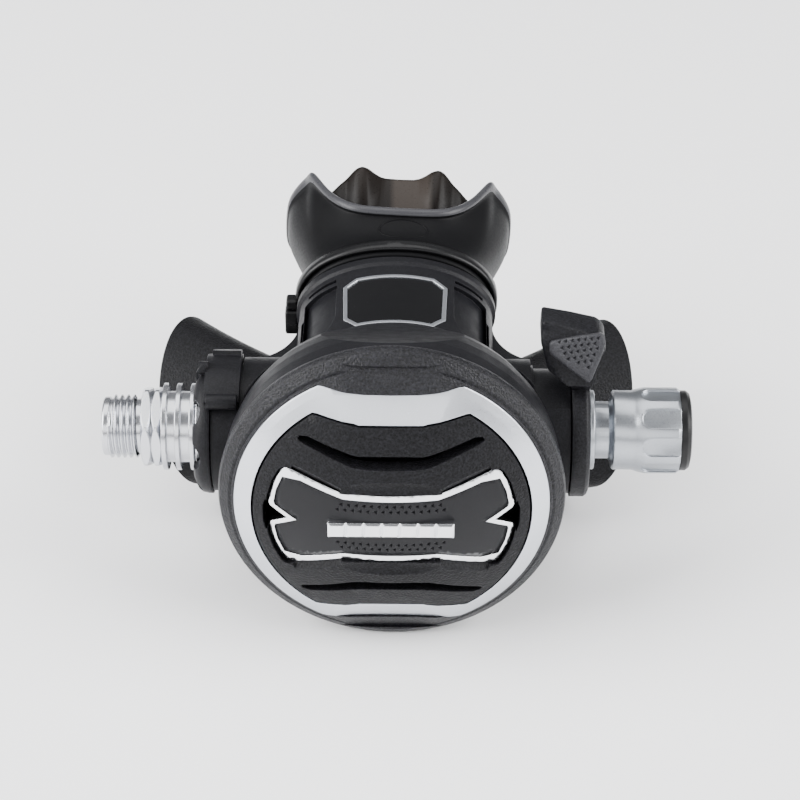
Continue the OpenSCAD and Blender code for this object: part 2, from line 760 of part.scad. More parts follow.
// ring of the tee's duct at position s, from -1 at the left to 1 at the right
function tee_ring(s, wall) =
    let (t = abs(s),
        side = s < 0 ? -1 : 1,
        lean = 90 - 49 * min(t, 1),
        turn = 35 * pow(t, 1.5),
        tall = 15.4 + 5.2 * pow(t, 3) - wall,
        deep = 10 + 3 * t * t - wall,
        mid = [tee_half * s, 21 + 14.5 * pow(t, 1.6), -22.3 + 5.8 * t],
        up = [0, cos(lean), sin(lean)],
        out = [side * sin(turn), -cos(turn) * sin(lean), cos(turn) * cos(lean)])
    [for (k = [0:23]) let (a = 15 * k) mid + tall * cos(a) * up - deep * sin(a) * out];

module exhaust_tee() {
    color("#2f2f33") placed() difference() {
        loft([for (i = [-7:7]) tee_ring(i / 7, 0)]);
        loft([for (i = [-7:7]) tee_ring(i / 6.7, tee_wall)]);
        to_rear(0, port_z) cylinder(r = port_r + 0.05, h = port_y + 3);
        tube_x(-48, 48, boss_r + plate_gap, 0);
        translate([0, boss_back, 0])
            tube_x(back_x[0] - plate_gap, back_x[1] + plate_gap, boss_r + plate_gap, 0);
    }
}

// ---- mouthpiece ----

// closed ring round the neck's axis: y, half width, half height, squareness, how far the sides
// sweep back, how much higher the corners stand and how far they draw in
function mouth_ring(y, w, h, square_n, sweep = 0, ear = 0, taper = 0) =
    let (turn = shield_turn * min(1, max(0, (y - 46) / 7)))
    [for (k = [0:39])
        let (a = 9 * k, c = cos(a), s = sin(a), p = 2 / square_n,
            across = sign(c) * pow(abs(c), p),
            up = sign(s) * pow(abs(s), p),
            x = w * across * (1 - taper * pow(abs(up), 1.3)),
            z = (h + ear * across * across) * up)
        [x * cos(turn) + z * sin(turn), y + sweep * pow(abs(x) / shield_w, 2.2),
            neck_z - x * sin(turn) + z * cos(turn)]];

// section of the palate's sheet: rear and front edge, each y and z
function palate_section(x, rear, front) =
    let (t = 1.6) [[x, rear[0], rear[1]], [x, rear[0], rear[1] - t], [x, front[0], front[1] - t],
        [x, front[0], front[1]]];

module lip_shield() {
    // collar on the neck, outer skin with a beaded rim, then back along the inside
    loft([mouth_ring(37.2, 22.5, 14, 2.2), mouth_ring(43.4, 22.7, 14.2, 2.2),
        mouth_ring(44.6, 21.6, 13, 2.2), mouth_ring(46.5, 22.4, 13.3, 2.3, 2.5, 0, 0.02),
        mouth_ring(49, 24.2, 13.9, 2.6, 9, 0.5, 0.05), mouth_ring(51.3, 26.2, 14.6, 3, 16, 1.2, 0.09),
        mouth_ring(53, shield_w + 0.2, shield_h, 3.4, 21, 1.9, 0.13),
        mouth_ring(53.3, shield_w + 0.7, shield_h + 0.8, 3.6, 21.8, 2.1, 0.14),
        mouth_ring(54.4, shield_w + 0.8, shield_h + 1.2, 3.6, 22.8, 2.2, 0.14),
        mouth_ring(55.3, shield_w, shield_h + 0.9, 3.6, 23.2, 2.2, 0.14),
        mouth_ring(55, shield_w - 1.4, shield_h - 0.5, 3.4, 21.6, 1.8, 0.13),
        mouth_ring(54, 22, 12, 2.8, 13, 0.8, 0.08), mouth_ring(53, 17.6, 9.8, 2.4, 4.5, 0.2, 0.03),
        mouth_ring(50.5, 15, 9, 2.3, 0.5), mouth_ring(47, 14.5, 9, 2.2),
        mouth_ring(46.6, 20.4, 12.75, 2), mouth_ring(37.2, 20.4, 12.75, 2)], true);
}

module palate_sheet() {
    // sloping sheet between the bite tabs, high at two ears and lower between them
    half = [[3.4, [79, 20.8], [63.5, 16]], [5.6, [78.9, 21.8], [63.6, 16]], [7.6, [78.7, 24], [63.8, 16]],
        [9.3, [78.3, 24.5], [64.2, 15.9]], [11.4, [77.2, 23], [64.8, 15]],
        [13.8, [75.2, 21], [65.4, 14]], [15.6, [73, 19.4], [65.8, 13]],
        [17, [70.6, 16.4], [66, 12.4]], [18, [69, 12.6], [66.2, 11.4]]];
    loft(concat([for (i = [len(half) - 1:-1:0]) palate_section(-half[i][0], half[i][1], half[i][2])],
        [for (h = half) palate_section(h[0], h[1], h[2])]));
}

module bite_tab() {
    hull() {
        translate([18.6, 63, neck_z]) cube([5, 4, 4.6], center = true);
        translate([16.6, y_back - 3, neck_z]) cylinder(r = 3, h = 4.4, center = true, $fn = 24);
        translate([13.6, 72, neck_z]) cylinder(r = 3, h = 4.6, center = true, $fn = 24);
    }
    // raised lip at the rear end
    translate([16.2, y_back - 2.2, neck_z]) cylinder(r = 2.2, h = 6.4, center = true, $fn = 24);
}

module mouthpiece() {
    color("#4b4a4b") placed() union() {
        lip_shield();
        palate_sheet();
        for (s = [0, 1]) mirror([s, 0, 0]) bite_tab();
    }
}

module mouthpiece_tie() {
    // clamp band round the mouthpiece's collar, with its latch at the left
    color("#1f1f21") placed() union() {
        difference() {
            loft([mouth_ring(38.6, 23.6, 15.1, 2.2, 0), mouth_ring(42, 23.7, 15.2, 2.2, 0)]);
            loft([mouth_ring(38, 22.72, 14.24, 2.2, 0), mouth_ring(42.8, 22.78, 14.3, 2.2, 0)]);
        }
        translate([-26.2, 37.6, 0.6]) cube([3.2, 4.2, 6.2]);
        translate([-25.9, 38, 7.1]) cube([2.8, 3.6, 2.5]);
    }
}

case();
front_ring();
trim_ring();
purge_cover();
badge_frame();
badge_panel();
badge_bar();
purge_spring();
front_guard();
diaphragm();
diaphragm_disc();
demand_lever();
lever_pin();
valve_barrel();
orifice_seat();
poppet();
poppet_seat();
poppet_spring();
spring_pad();
pad_oring();
adjuster_nut();
knob();
knob_cap();
knob_screw();
inlet_connector();
inlet_oring();
barrel_nut();
inlet_collar();
collar_clip();
airflow_lever();
lever_pad();
airflow_vane();
exhaust_valve();
exhaust_tee();
mouthpiece();
mouthpiece_tie();
neck_frame();
neck_plate();
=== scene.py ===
"""Dresses the second stage of a scuba regulator: finishes for its machined and moulded parts, and detailed
pieces for the badge, the threaded inlet, the lever, the exhaust tee and the mouthpiece.

Places are in millimetres from the valve's axis: x from the hose inlet to the knob, y from the cover to the
mouthpiece, z up."""
import math

import bmesh
import bpy
from mathutils import Matrix, Vector
from mathutils.bvhtree import BVHTree


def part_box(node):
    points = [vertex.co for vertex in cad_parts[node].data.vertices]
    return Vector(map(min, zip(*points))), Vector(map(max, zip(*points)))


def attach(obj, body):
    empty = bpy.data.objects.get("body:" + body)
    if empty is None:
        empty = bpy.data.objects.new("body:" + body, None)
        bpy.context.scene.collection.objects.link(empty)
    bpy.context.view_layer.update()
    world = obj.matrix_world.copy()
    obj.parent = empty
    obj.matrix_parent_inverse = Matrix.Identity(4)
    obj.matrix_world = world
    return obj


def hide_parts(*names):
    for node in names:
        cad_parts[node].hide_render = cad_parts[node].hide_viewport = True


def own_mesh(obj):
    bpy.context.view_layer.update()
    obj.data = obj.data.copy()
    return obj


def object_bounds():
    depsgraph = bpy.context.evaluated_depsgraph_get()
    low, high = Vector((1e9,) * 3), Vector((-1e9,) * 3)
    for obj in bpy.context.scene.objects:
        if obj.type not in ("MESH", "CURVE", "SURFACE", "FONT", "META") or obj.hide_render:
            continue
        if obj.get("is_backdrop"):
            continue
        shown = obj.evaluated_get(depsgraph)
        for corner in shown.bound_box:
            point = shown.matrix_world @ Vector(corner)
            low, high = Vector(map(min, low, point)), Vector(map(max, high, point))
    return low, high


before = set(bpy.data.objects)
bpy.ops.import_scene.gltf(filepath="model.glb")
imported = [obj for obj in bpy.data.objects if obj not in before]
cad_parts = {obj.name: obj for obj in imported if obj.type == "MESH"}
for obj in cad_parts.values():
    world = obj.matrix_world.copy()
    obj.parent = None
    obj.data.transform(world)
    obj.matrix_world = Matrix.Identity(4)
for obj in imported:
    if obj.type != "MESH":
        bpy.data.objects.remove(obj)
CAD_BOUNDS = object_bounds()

bl_info = {
    "name": "Regulator second stage",
    "version": (1, 1, 0),
    "blender": (4, 5, 0),
    "location": "View3D > Sidebar > Regulator",
    "description": "Finishes and detailed pieces for a scuba regulator's second stage",
    "category": "Object",
}

MM = 0.001
EVEN = (1, 1, 1)      # no stretch of a texture
LATHE = (30, 1, 1)    # fine rings round the valve's axis


def centre(node, axis):
    low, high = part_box(node)
    return (low[axis] + high[axis]) / 2


# the valve's axis, level with the middle of the front ring
VALVE = Vector((centre("front_ring", 0), centre("adjuster_nut", 1), centre("adjuster_nut", 2)))
NECK_Z = 9.0          # the neck's axis above the valve's


def at(x, y, z):
    """A point given in millimetres from the valve's axis, in the model's frame."""
    return VALVE + Vector((x, y, z)) * MM


# ---- sizes and colours a user would change ----

def length(name, description, millimetres):
    return bpy.props.FloatProperty(name=name, description=description, default=millimetres * MM,
                                   unit="LENGTH")


def colour(name, description, *value):
    return bpy.props.FloatVectorProperty(name=name, description=description, subtype="COLOR",
                                         default=value)


class RegulatorSizes(bpy.types.PropertyGroup):
    thread_pitch: length("Thread pitch", "Distance between turns of the hose thread", 1.411)
    thread_root: length("Thread root", "Radius at the bottom of the hose thread", 6.25)
    tee_wall: length("Tee wall", "Wall of the exhaust tee", 1.8)
    sheet_wall: length("Sheet wall", "Thickness of the sheet over the palate", 1.6)
    dimple: length("Dimple", "Radius of one dimple on the badge", 0.62)
    pit: length("Pit", "Radius of one pit in the thumb pad", 0.6)


class RegulatorColours(bpy.types.PropertyGroup):
    nylon: colour("Nylon", "Grained black nylon of the housing", 0.0042, 0.0042, 0.0052)
    rubber: colour("Rubber", "Soft black rubber of the tee and the cover", 0.0030, 0.0030, 0.0036)
    silicone: colour("Silicone", "Smoky silicone of the mouthpiece", 0.0045, 0.0045, 0.0050)
    # painted light: this brown stands in for light coming through the thin silicone
    brown: colour("Brown", "Silicone where the light comes through it", 0.026, 0.021, 0.018)
    silver: colour("Silver", "Satin silver of the trim ring", 0.60, 0.62, 0.66)
    nickel: colour("Nickel", "Plating of the hose inlet", 0.60, 0.61, 0.64)


def sizes():
    return bpy.context.scene.regulator_sizes


def colours():
    return bpy.context.scene.regulator_colours


# ---- materials ----

# how well the rounded normal agrees with the true one on an edge and on a flat
ON_EDGE, ON_FLAT = 0.86, 0.99
CLOUD_MM = 9.0        # size of the slow changes of tone in plastic and rubber
SHEEN_MM = 3.0        # size of the patches of uneven sheen
JET = (0.004, 0.004, 0.0045)


def add(tree, kind, **values):
    node = tree.nodes.new(kind)
    for key, value in values.items():
        setattr(node, key, value)
    return node


def new_material(name):
    material = bpy.data.materials.new(name)
    material.use_nodes = True
    shader = next(n for n in material.node_tree.nodes if n.type == "BSDF_PRINCIPLED")
    return material, material.node_tree, shader


def object_coords(tree, scale=EVEN):
    coords = add(tree, "ShaderNodeTexCoord")
    mapping = add(tree, "ShaderNodeMapping")
    mapping.inputs["Location"].default_value = [-v * s for v, s in zip(VALVE, scale)]
    mapping.inputs["Scale"].default_value = scale
    tree.links.new(coords.outputs["Object"], mapping.inputs["Vector"])
    return mapping.outputs["Vector"]


def noise(tree, vector, size_mm, detail):
    node = add(tree, "ShaderNodeTexNoise")
    node.inputs["Scale"].default_value = 1 / (size_mm * MM)
    node.inputs["Detail"].default_value = detail
    node.inputs["Roughness"].default_value = 0.5
    tree.links.new(vector, node.inputs["Vector"])
    return node.outputs["Fac"]


def spread(tree, value, low, high, from_low=0.3, from_high=0.7):
    """Carries a number over from one range, by default that of most noise, to another."""
    node = add(tree, "ShaderNodeMapRange")
    for key, number in zip(("From Min", "From Max", "To Min", "To Max"), (from_low, from_high, low, high)):
        node.inputs[key].default_value = number
    tree.links.new(value, node.inputs["Value"])
    return node.outputs["Result"]


def calculate(tree, operation, *values):
    node = add(tree, "ShaderNodeMath", operation=operation)
    for socket, value in zip(node.inputs, values):
        if isinstance(value, bpy.types.NodeSocket):
            tree.links.new(value, socket)
        else:
            socket.default_value = value
    return node.outputs["Value"]


def blend_colours(tree, factor, first, second):
    node = add(tree, "ShaderNodeMix", data_type="RGBA")
    tree.links.new(factor, node.inputs["Factor"])
    for socket, value in ((node.inputs["A"], first), (node.inputs["B"], second)):
        if isinstance(value, bpy.types.NodeSocket):
            tree.links.new(value, socket)
        else:
            socket.default_value = (*value[:3], 1)
    return node.outputs["Result"]


def scaled_colour(tree, value, factor):
    """A colour socket multiplied by a number socket."""
    node = add(tree, "ShaderNodeVectorMath", operation="SCALE")
    tree.links.new(value, node.inputs[0])
    tree.links.new(factor, node.inputs["Scale"])
    return node.outputs["Vector"]


def rounded_edges_and_highlight(tree, radius_mm):
    """Rounded normals, and how near a point is to an edge, where a highlight is painted."""
    bevel = add(tree, "ShaderNodeBevel", samples=4)
    bevel.inputs["Radius"].default_value = radius_mm * MM
    geometry = add(tree, "ShaderNodeNewGeometry")
    dot = add(tree, "ShaderNodeVectorMath", operation="DOT_PRODUCT")
    tree.links.new(bevel.outputs["Normal"], dot.inputs[0])
    tree.links.new(geometry.outputs["Normal"], dot.inputs[1])
    near = spread(tree, dot.outputs["Value"], 1.0, 0.0, ON_EDGE, ON_FLAT)
    return bevel.outputs["Normal"], near


def bumped(tree, shader, height, depth_mm, normal, strength=1.0):
    bump = add(tree, "ShaderNodeBump")
    bump.inputs["Strength"].default_value = strength
    bump.inputs["Distance"].default_value = depth_mm * MM
    tree.links.new(height, bump.inputs["Height"])
    if normal:
        tree.links.new(normal, bump.inputs["Normal"])
    tree.links.new(bump.outputs["Normal"], shader.inputs["Normal"])


def tinted(value, gain):
    return tuple(min(1.0, c * gain) for c in value[:3])


def moulded(name, tone, rough, gloss, grain_mm, grain_depth_mm, speckle=0.4, edge_mm=0.25, edge_highlight_gain=2.2):
    """Moulded plastic or rubber: speckled grain, uneven sheen, and a painted highlight that makes the colour
    lighter near edges.
    """
    material, tree, shader = new_material(name)
    vector = object_coords(tree)
    rounded_normal, near = rounded_edges_and_highlight(tree, edge_mm)
    cloudy = noise(tree, vector, CLOUD_MM, 4.0)
    base = blend_colours(tree, cloudy, tinted(tone, 0.82), tinted(tone, 1.2))
    # painted highlight: the colour is made lighter near edges, where they catch the light
    base = blend_colours(tree, near, base, tinted(tone, edge_highlight_gain))
    cells = add(tree, "ShaderNodeTexVoronoi", feature="SMOOTH_F1")
    cells.inputs["Scale"].default_value = 1 / (grain_mm * MM)
    tree.links.new(vector, cells.inputs["Vector"])
    fine = noise(tree, vector, grain_mm * 0.7, 2.0)
    grains = calculate(tree, "ADD", cells.outputs["Distance"], fine)
    light = spread(tree, grains, 1 - speckle, 1 + 2.2 * speckle, 0.55, 1.25)
    tree.links.new(scaled_colour(tree, base, light), shader.inputs["Base Color"])
    bumped(tree, shader, grains, grain_depth_mm, rounded_normal)
    sheen = noise(tree, vector, SHEEN_MM, 5.0)
    tree.links.new(spread(tree, sheen, rough - 0.05, rough + 0.07), shader.inputs["Roughness"])
    shader.inputs["Specular IOR Level"].default_value = gloss
    return material


def metal(name, tone, rough, brush, brush_mm, brush_depth_mm, edge_mm):
    """Turned or plated metal: faint tool marks, stretched as brush says, and a painted highlight that makes
    the colour brighter near edges.
    """
    material, tree, shader = new_material(name)
    rounded_normal, near = rounded_edges_and_highlight(tree, edge_mm)
    marks = noise(tree, object_coords(tree, brush), brush_mm, 3.0)
    cloudy = noise(tree, object_coords(tree), 12.0, 3.0)
    base = blend_colours(tree, cloudy, tinted(tone, 0.93), tinted(tone, 1.05))
    # painted highlight: the colour is made brighter near edges, where they catch the light
    base = blend_colours(tree, near, base, tinted(tone, 1.15))
    tree.links.new(base, shader.inputs["Base Color"])
    tree.links.new(spread(tree, marks, rough * 0.8, rough * 1.25), shader.inputs["Roughness"])
    bumped(tree, shader, marks, brush_depth_mm, rounded_normal, 0.6)
    shader.inputs["Metallic"].default_value = 1.0
    return material


def silicone(name, tone, rough, gloss, brown=None):
    """Smoky silicone with a soft gloss; on a brown sheet, light coming through is painted into the colour:
    brown at its middle and lighter towards its top.
    """
    material, tree, shader = new_material(name)
    vector = object_coords(tree)
    cloudy = noise(tree, vector, 7.0, 3.0)
    base = blend_colours(tree, cloudy, tinted(tone, 0.85), tinted(tone, 1.18))
    if brown:
        split = add(tree, "ShaderNodeSeparateXYZ")
        tree.links.new(vector, split.inputs["Vector"])
        panel_x, panel_half, fade = 3.2, 3.9, 1.5
        dark_z, light_z = 17, 25
        beside = calculate(tree, "ABSOLUTE", calculate(tree, "SUBTRACT", split.outputs["X"], panel_x * MM))
        middle = spread(tree, beside, 1.0, 0.0, panel_half * MM, (panel_half + fade) * MM)
        # painted light: the sheet is painted lighter towards its top, where light comes through the thin
        # edge
        light_through_top = spread(tree, split.outputs["Z"], 0.0, 0.4, dark_z * MM, light_z * MM)
        base = blend_colours(tree, light_through_top, base, tinted(brown, 0.75))
        # painted light: a brown panel at the middle, where light comes through the sheet
        base = blend_colours(tree, middle, base, brown)
    tree.links.new(base, shader.inputs["Base Color"])
    skin = noise(tree, vector, 0.5, 2.0)
    tree.links.new(spread(tree, skin, rough - 0.04, rough + 0.06), shader.inputs["Roughness"])
    bumped(tree, shader, skin, 0.004, None, 0.4)
    shader.inputs["IOR"].default_value = 1.42
    shader.inputs["Specular IOR Level"].default_value = gloss
    return material


FINISH = {}


def make_finishes():
    """Moulded ones: name, tone, roughness, gloss, size and depth of the grain, speckle, edge width and the
    gain of the painted edge highlight.
    Metals: name, tone, roughness, stretch, size and depth of the tool marks, and edge width."""
    tone = colours()
    FINISH.update(
        nylon=moulded("grained_nylon", tone.nylon, 0.44, 0.16, 0.45, 0.05, 0.6),
        nylon_fine=moulded("fine_nylon", tone.nylon, 0.44, 0.15, 0.30, 0.03, 0.5),
        ring=moulded("ring_nylon", tone.nylon, 0.36, 0.22, 0.45, 0.16, 1.0),
        cover=moulded("cover_rubber", tone.rubber, 0.44, 0.13, 0.45, 0.12, 1.0, 0.35),
        panel=moulded("badge_dark", (0.0085, 0.0085, 0.0098), 0.36, 0.17, 0.3, 0.004, 0.05),
        plate=moulded("plate_dark", (0.0025, 0.0025, 0.003), 0.14, 0.30, 3.0, 0.001, 0.02),
        rubber=moulded("tee_rubber", tone.rubber, 0.44, 0.13, 0.45, 0.11, 0.9, 0.3),
        cap=moulded("cap_rubber", JET, 0.36, 0.25, 0.3, 0.006, 0.1, 0.4),
        pad=moulded("grip_grey", (0.022, 0.022, 0.025), 0.45, 0.22, 0.3, 0.03, 0.3, 0.3, 1.6),
        tie=moulded("tie_plastic", JET, 0.30, 0.25, 0.4, 0.005, 0.1, 0.3),
        seal=moulded("seal_rubber", (0.02, 0.02, 0.02), 0.4, 0.3, 0.3, 0.004, 0.1, 0.1),
        inner=moulded("inner_plastic", (0.012, 0.012, 0.013), 0.45, 0.3, 0.4, 0.01, 0.1, 0.2),
        acetal=moulded("acetal", (0.72, 0.71, 0.66), 0.38, 0.4, 0.4, 0.006, 0.03, 0.15, 1.02),
        membrane=moulded("membrane_silicone", (0.05, 0.05, 0.052), 0.4, 0.35, 0.4, 0.005, 0.05, 0.2, 1.2),
        trim=metal("trim_satin", tone.silver, 0.33, EVEN, 0.2, 0.003, 0.35),
        knob=metal("knob_satin", (0.40, 0.42, 0.45), 0.30, LATHE, 0.6, 0.004, 0.3),
        nickel=metal("inlet_plate", tone.nickel, 0.23, LATHE, 0.8, 0.002, 0.15),
        badge=metal("badge_chrome", (0.86, 0.87, 0.89), 0.16, EVEN, 0.3, 0.001, 0.12),
        steel=metal("drawn_steel", (0.62, 0.63, 0.65), 0.28, EVEN, 0.2, 0.003, 0.1),
        brass=metal("turned_brass", (0.78, 0.60, 0.30), 0.25, LATHE, 0.5, 0.003, 0.12),
        lip=silicone("lip_silicone", tone.silicone, 0.42, 0.08),
        # painted light: the bead's colour is 7.5 times the lip's, for the overhead light it faces and the
        # light through its thin edge
        bead=silicone("bead_painted_light", tinted(tone.silicone, 7.5), 0.30, 0.32),
        sheet=silicone("sheet_silicone", (0.0040, 0.0030, 0.0026), 0.30, 0.16, tone.brown),
    )


CAD_FINISH = {
    "case": "nylon_fine", "front_ring": "ring", "trim_ring": "trim", "purge_cover": "cover",
    "badge_frame": "badge", "badge_panel": "panel", "badge_bar": "badge", "purge_spring": "steel",
    "front_guard": "inner", "diaphragm": "membrane", "diaphragm_disc": "inner",
    "demand_lever": "steel", "lever_pin": "steel", "valve_barrel": "nickel", "orifice_seat": "brass",
    "poppet": "acetal", "poppet_seat": "seal", "poppet_spring": "steel", "spring_pad": "nickel",
    "pad_oring": "seal", "adjuster_nut": "knob", "knob": "knob", "knob_cap": "cap",
    "knob_screw": "steel", "inlet_oring": "seal", "barrel_nut": "nickel", "inlet_collar": "nylon_fine",
    "collar_clip": "nylon_fine", "airflow_lever": "nylon", "lever_pad": "pad", "airflow_vane": "inner",
    "exhaust_valve": "membrane", "neck_frame": "trim", "neck_plate": "plate",
    "inlet_connector": "nickel", "exhaust_tee": "rubber", "mouthpiece": "lip", "mouthpiece_tie": "tie",
}


# ---- mesh helpers ----

DOUBLES = 1e-6        # how near points are joined, in metres
SHARP_DEG = 35        # an edge sharper than this is rounded


def copy_of(node):
    """A machined solid as a new mesh whose flat faces are whole again."""
    bm = bmesh.new()
    bm.from_mesh(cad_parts[node].data)
    bmesh.ops.remove_doubles(bm, verts=bm.verts, dist=2 * DOUBLES)
    bmesh.ops.dissolve_limit(bm, angle_limit=math.radians(0.5), use_dissolve_boundaries=False,
                             verts=bm.verts, edges=bm.edges)
    return bm


def piece_from(bm, name, finishes, body, replaces=(), slot=None):
    """Closes a bmesh into an object at the origin that rides on a body."""
    bmesh.ops.remove_doubles(bm, verts=bm.verts, dist=DOUBLES)
    bmesh.ops.recalc_face_normals(bm, faces=bm.faces)
    mesh = bpy.data.meshes.new(name)
    bm.to_mesh(mesh)
    bm.free()
    mesh.shade_smooth()
    obj = bpy.data.objects.new(name, mesh)
    bpy.context.collection.objects.link(obj)
    for finish in finishes.split():
        obj.data.materials.append(FINISH[finish])
    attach(obj, body)
    if replaces:
        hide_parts(*replaces)
    return obj


def smooth_levels(obj, levels):
    modifier = obj.modifiers.new("Subdivision", "SUBSURF")
    modifier.levels = levels
    modifier.render_levels = levels


def rounded(obj, width_mm, segments=3, angle=SHARP_DEG):
    """Rounds the sharp edges of a piece."""
    modifier = obj.modifiers.new("Round", "BEVEL")
    modifier.width = width_mm * MM
    modifier.segments = segments
    modifier.limit_method = "ANGLE"
    modifier.angle_limit = math.radians(angle)
    modifier.harden_normals = True


def evaluated(obj):
    return obj.evaluated_get(bpy.context.evaluated_depsgraph_get())


def surface_of(obj):
    return BVHTree.FromObject(obj, bpy.context.evaluated_depsgraph_get())


def seat(tree, start, direction):
    """Where a line meets a surface, and the surface's direction there."""
    spot, normal, _, _ = tree.ray_cast(start, direction)
    if spot is None:
        raise RuntimeError("a line misses the surface that it should meet")
    return spot, normal


def carve(obj, cutter_bm, operation="DIFFERENCE"):
    """Cuts a bmesh out of a piece for good, or keeps only what is inside it."""
    mesh = bpy.data.meshes.new("cutter")
    bmesh.ops.remove_doubles(cutter_bm, verts=cutter_bm.verts, dist=DOUBLES)
    bmesh.ops.recalc_face_normals(cutter_bm, faces=cutter_bm.faces)
    cutter_bm.to_mesh(mesh)
    cutter_bm.free()
    cutter = bpy.data.objects.new("cutter", mesh)
    bpy.context.collection.objects.link(cutter)
    modifier = obj.modifiers.new("Cut", "BOOLEAN")
    modifier.operation = operation
    modifier.solver = "EXACT"
    modifier.object = cutter
    result = bpy.data.meshes.new_from_object(evaluated(obj))
    obj.modifiers.remove(modifier)
    plain = obj.data
    obj.data = result
    bpy.data.meshes.remove(plain)
    bpy.data.objects.remove(cutter)
    bpy.data.meshes.remove(mesh)


def pit_cutter(bm, spot, normal, radius):
    """Adds one three-sided pit to a cutter, its point below the surface."""
    depth = 0.5 * MM
    swing = normal.to_track_quat("Z", "Y").to_matrix().to_4x4() @ Matrix.Rotation(math.pi / 2, 4, "Z")
    place = Matrix.Translation(spot - normal * depth * 0.25) @ swing
    bmesh.ops.create_cone(bm, cap_ends=True, segments=3, radius1=radius * 0.25, radius2=radius * 1.6,
                          depth=depth * 1.5, matrix=place)


def edges_of(verts):
    return list(dict.fromkeys(edge for v in verts for edge in v.link_edges))


def circle_loop(bm, segments, place):
    """A closed loop from a unit circle, each point moved by place(across, up)."""
    verts = bmesh.ops.create_circle(bm, cap_ends=False, segments=segments, radius=1.0)["verts"]
    for v in verts:
        v.co = place(v.co.x, v.co.y)
    return edges_of(verts)


def bridge_all(bm, loops, second_finish=()):
    """Joins loops into one closed skin; the spans named take the second finish."""
    for k, first in enumerate(loops):
        faces = bmesh.ops.bridge_loops(bm, edges=first + loops[(k + 1) % len(loops)])["faces"]
        for face in faces:
            face.material_index = int(k in second_finish)


def spin_profile(bm, points):
    """Turns a profile of (x, radius) in millimetres once round the valve's axis."""
    verts = [bm.verts.new(at(x, 0, r)) for x, r in points]
    edges = [bm.edges.new(pair) for pair in zip(verts, verts[1:])]
    bmesh.ops.spin(bm, geom=verts + edges, cent=VALVE, axis=(1, 0, 0), angle=2 * math.pi,
                   steps=96, use_merge=True, use_duplicate=False)


def between(table, x):
    """Straight-line value of a table of (x, values...) at x."""
    if x <= table[0][0]:
        return table[0][1:]
    for a, b in zip(table, table[1:]):
        if x <= b[0]:
            f = (x - a[0]) / (b[0] - a[0])
            return [p + (q - p) * f for p, q in zip(a[1:], b[1:])]
    return table[-1][1:]


def power(value, exponent):
    """A power that keeps the sign."""
    return math.copysign(abs(value) ** exponent, value)


# ---- the pieces ----

class FinishCadNodes(bpy.types.Operator):
    """Gives every machined and moulded solid its finish"""
    bl_idname = "regulator.finish_cad_nodes"
    bl_label = "Finish the solids"

    def execute(self, context):
        make_finishes()
        for node, finish in CAD_FINISH.items():
            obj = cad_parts[node]
            if not obj.material_slots:
                obj.data.materials.append(FINISH[finish])
            for slot in obj.material_slots:
                slot.material = FINISH[finish]
        return {"FINISHED"}


class BuildBadge(bpy.types.Operator):
    """Purge badge: ridged bright frame, plain ribbed bar and a panel with four rows of dimples"""
    bl_idname = "regulator.build_badge"
    bl_label = "Purge badge"
    dimple_pitch = 1.62
    dimple_rows = ((15, 4.35), (14, 5.65))   # how many, and how far above and below the middle

    def execute(self, context):
        bezel = piece_from(copy_of("badge_frame"), "badge_bezel", "badge", "purge", ("badge_frame",),
                           "badge_chrome")
        rounded(bezel, 0.42, 2)
        bar = piece_from(copy_of("badge_bar"), "badge_blocks", "badge", "purge", ("badge_bar",),
                         "badge_chrome")
        rounded(bar, 0.15, 2)
        field = piece_from(copy_of("badge_panel"), "badge_field", "panel", "purge", ("badge_panel",),
                           "badge_dark")
        surface = surface_of(field)
        bm = bmesh.new()
        for count, z in self.dimple_rows:
            for k in range(count):
                for up in (1, -1):
                    start = at(self.dimple_pitch * (k - (count - 1) / 2), -60, up * z)
                    spot, normal = seat(surface, start, Vector((0, 1, 0)))
                    pit_cutter(bm, spot, normal, sizes().dimple)
        carve(field, bm)
        return {"FINISHED"}


class ShapeFront(bpy.types.Operator):
    """Cover and trim with a broad facet over both at the top and the bottom"""
    bl_idname = "regulator.shape_front"
    bl_label = "Faceted front"
    crease_deg = 7.5      # edges sharper than this stay crisp
    facet_radius, facet_y = 52.5, 13.18
    facet_z, half_height, half_width, reach = 26.2, 9.2, 17, 9

    def execute(self, context):
        for node, name, finish, body, slot, width in (
                ("trim_ring", "trim_hoop", "trim", "housing", "trim_silver", 1.3),
                ("purge_cover", "press_cover", "cover", "purge", "cover_black", 0)):
            piece = piece_from(copy_of(node), name, finish, body, (node,), slot)
            for up in (1, -1):
                carve(piece, self.facet(up))
            piece.data.set_sharp_from_angle(angle=math.radians(self.crease_deg))
            if width:
                rounded(piece, width)
        return {"FINISHED"}

    def facet(self, up):
        """What lies in front of a cylinder that runs across the front, above or below the badge."""
        bm = bmesh.new()
        bmesh.ops.create_grid(bm, x_segments=2, y_segments=24, size=1.0)
        for v in bm.verts:
            z = self.facet_z + self.half_height * v.co.y
            y = self.facet_y - math.sqrt(self.facet_radius ** 2 - z ** 2)
            v.co = at(self.half_width * v.co.x, y, up * z)
        front = bmesh.ops.extrude_face_region(bm, geom=bm.faces[:])["geom"]
        bmesh.ops.translate(bm, verts=[v for v in front if isinstance(v, bmesh.types.BMVert)],
                            vec=(0, -self.reach * MM, 0))
        return bm


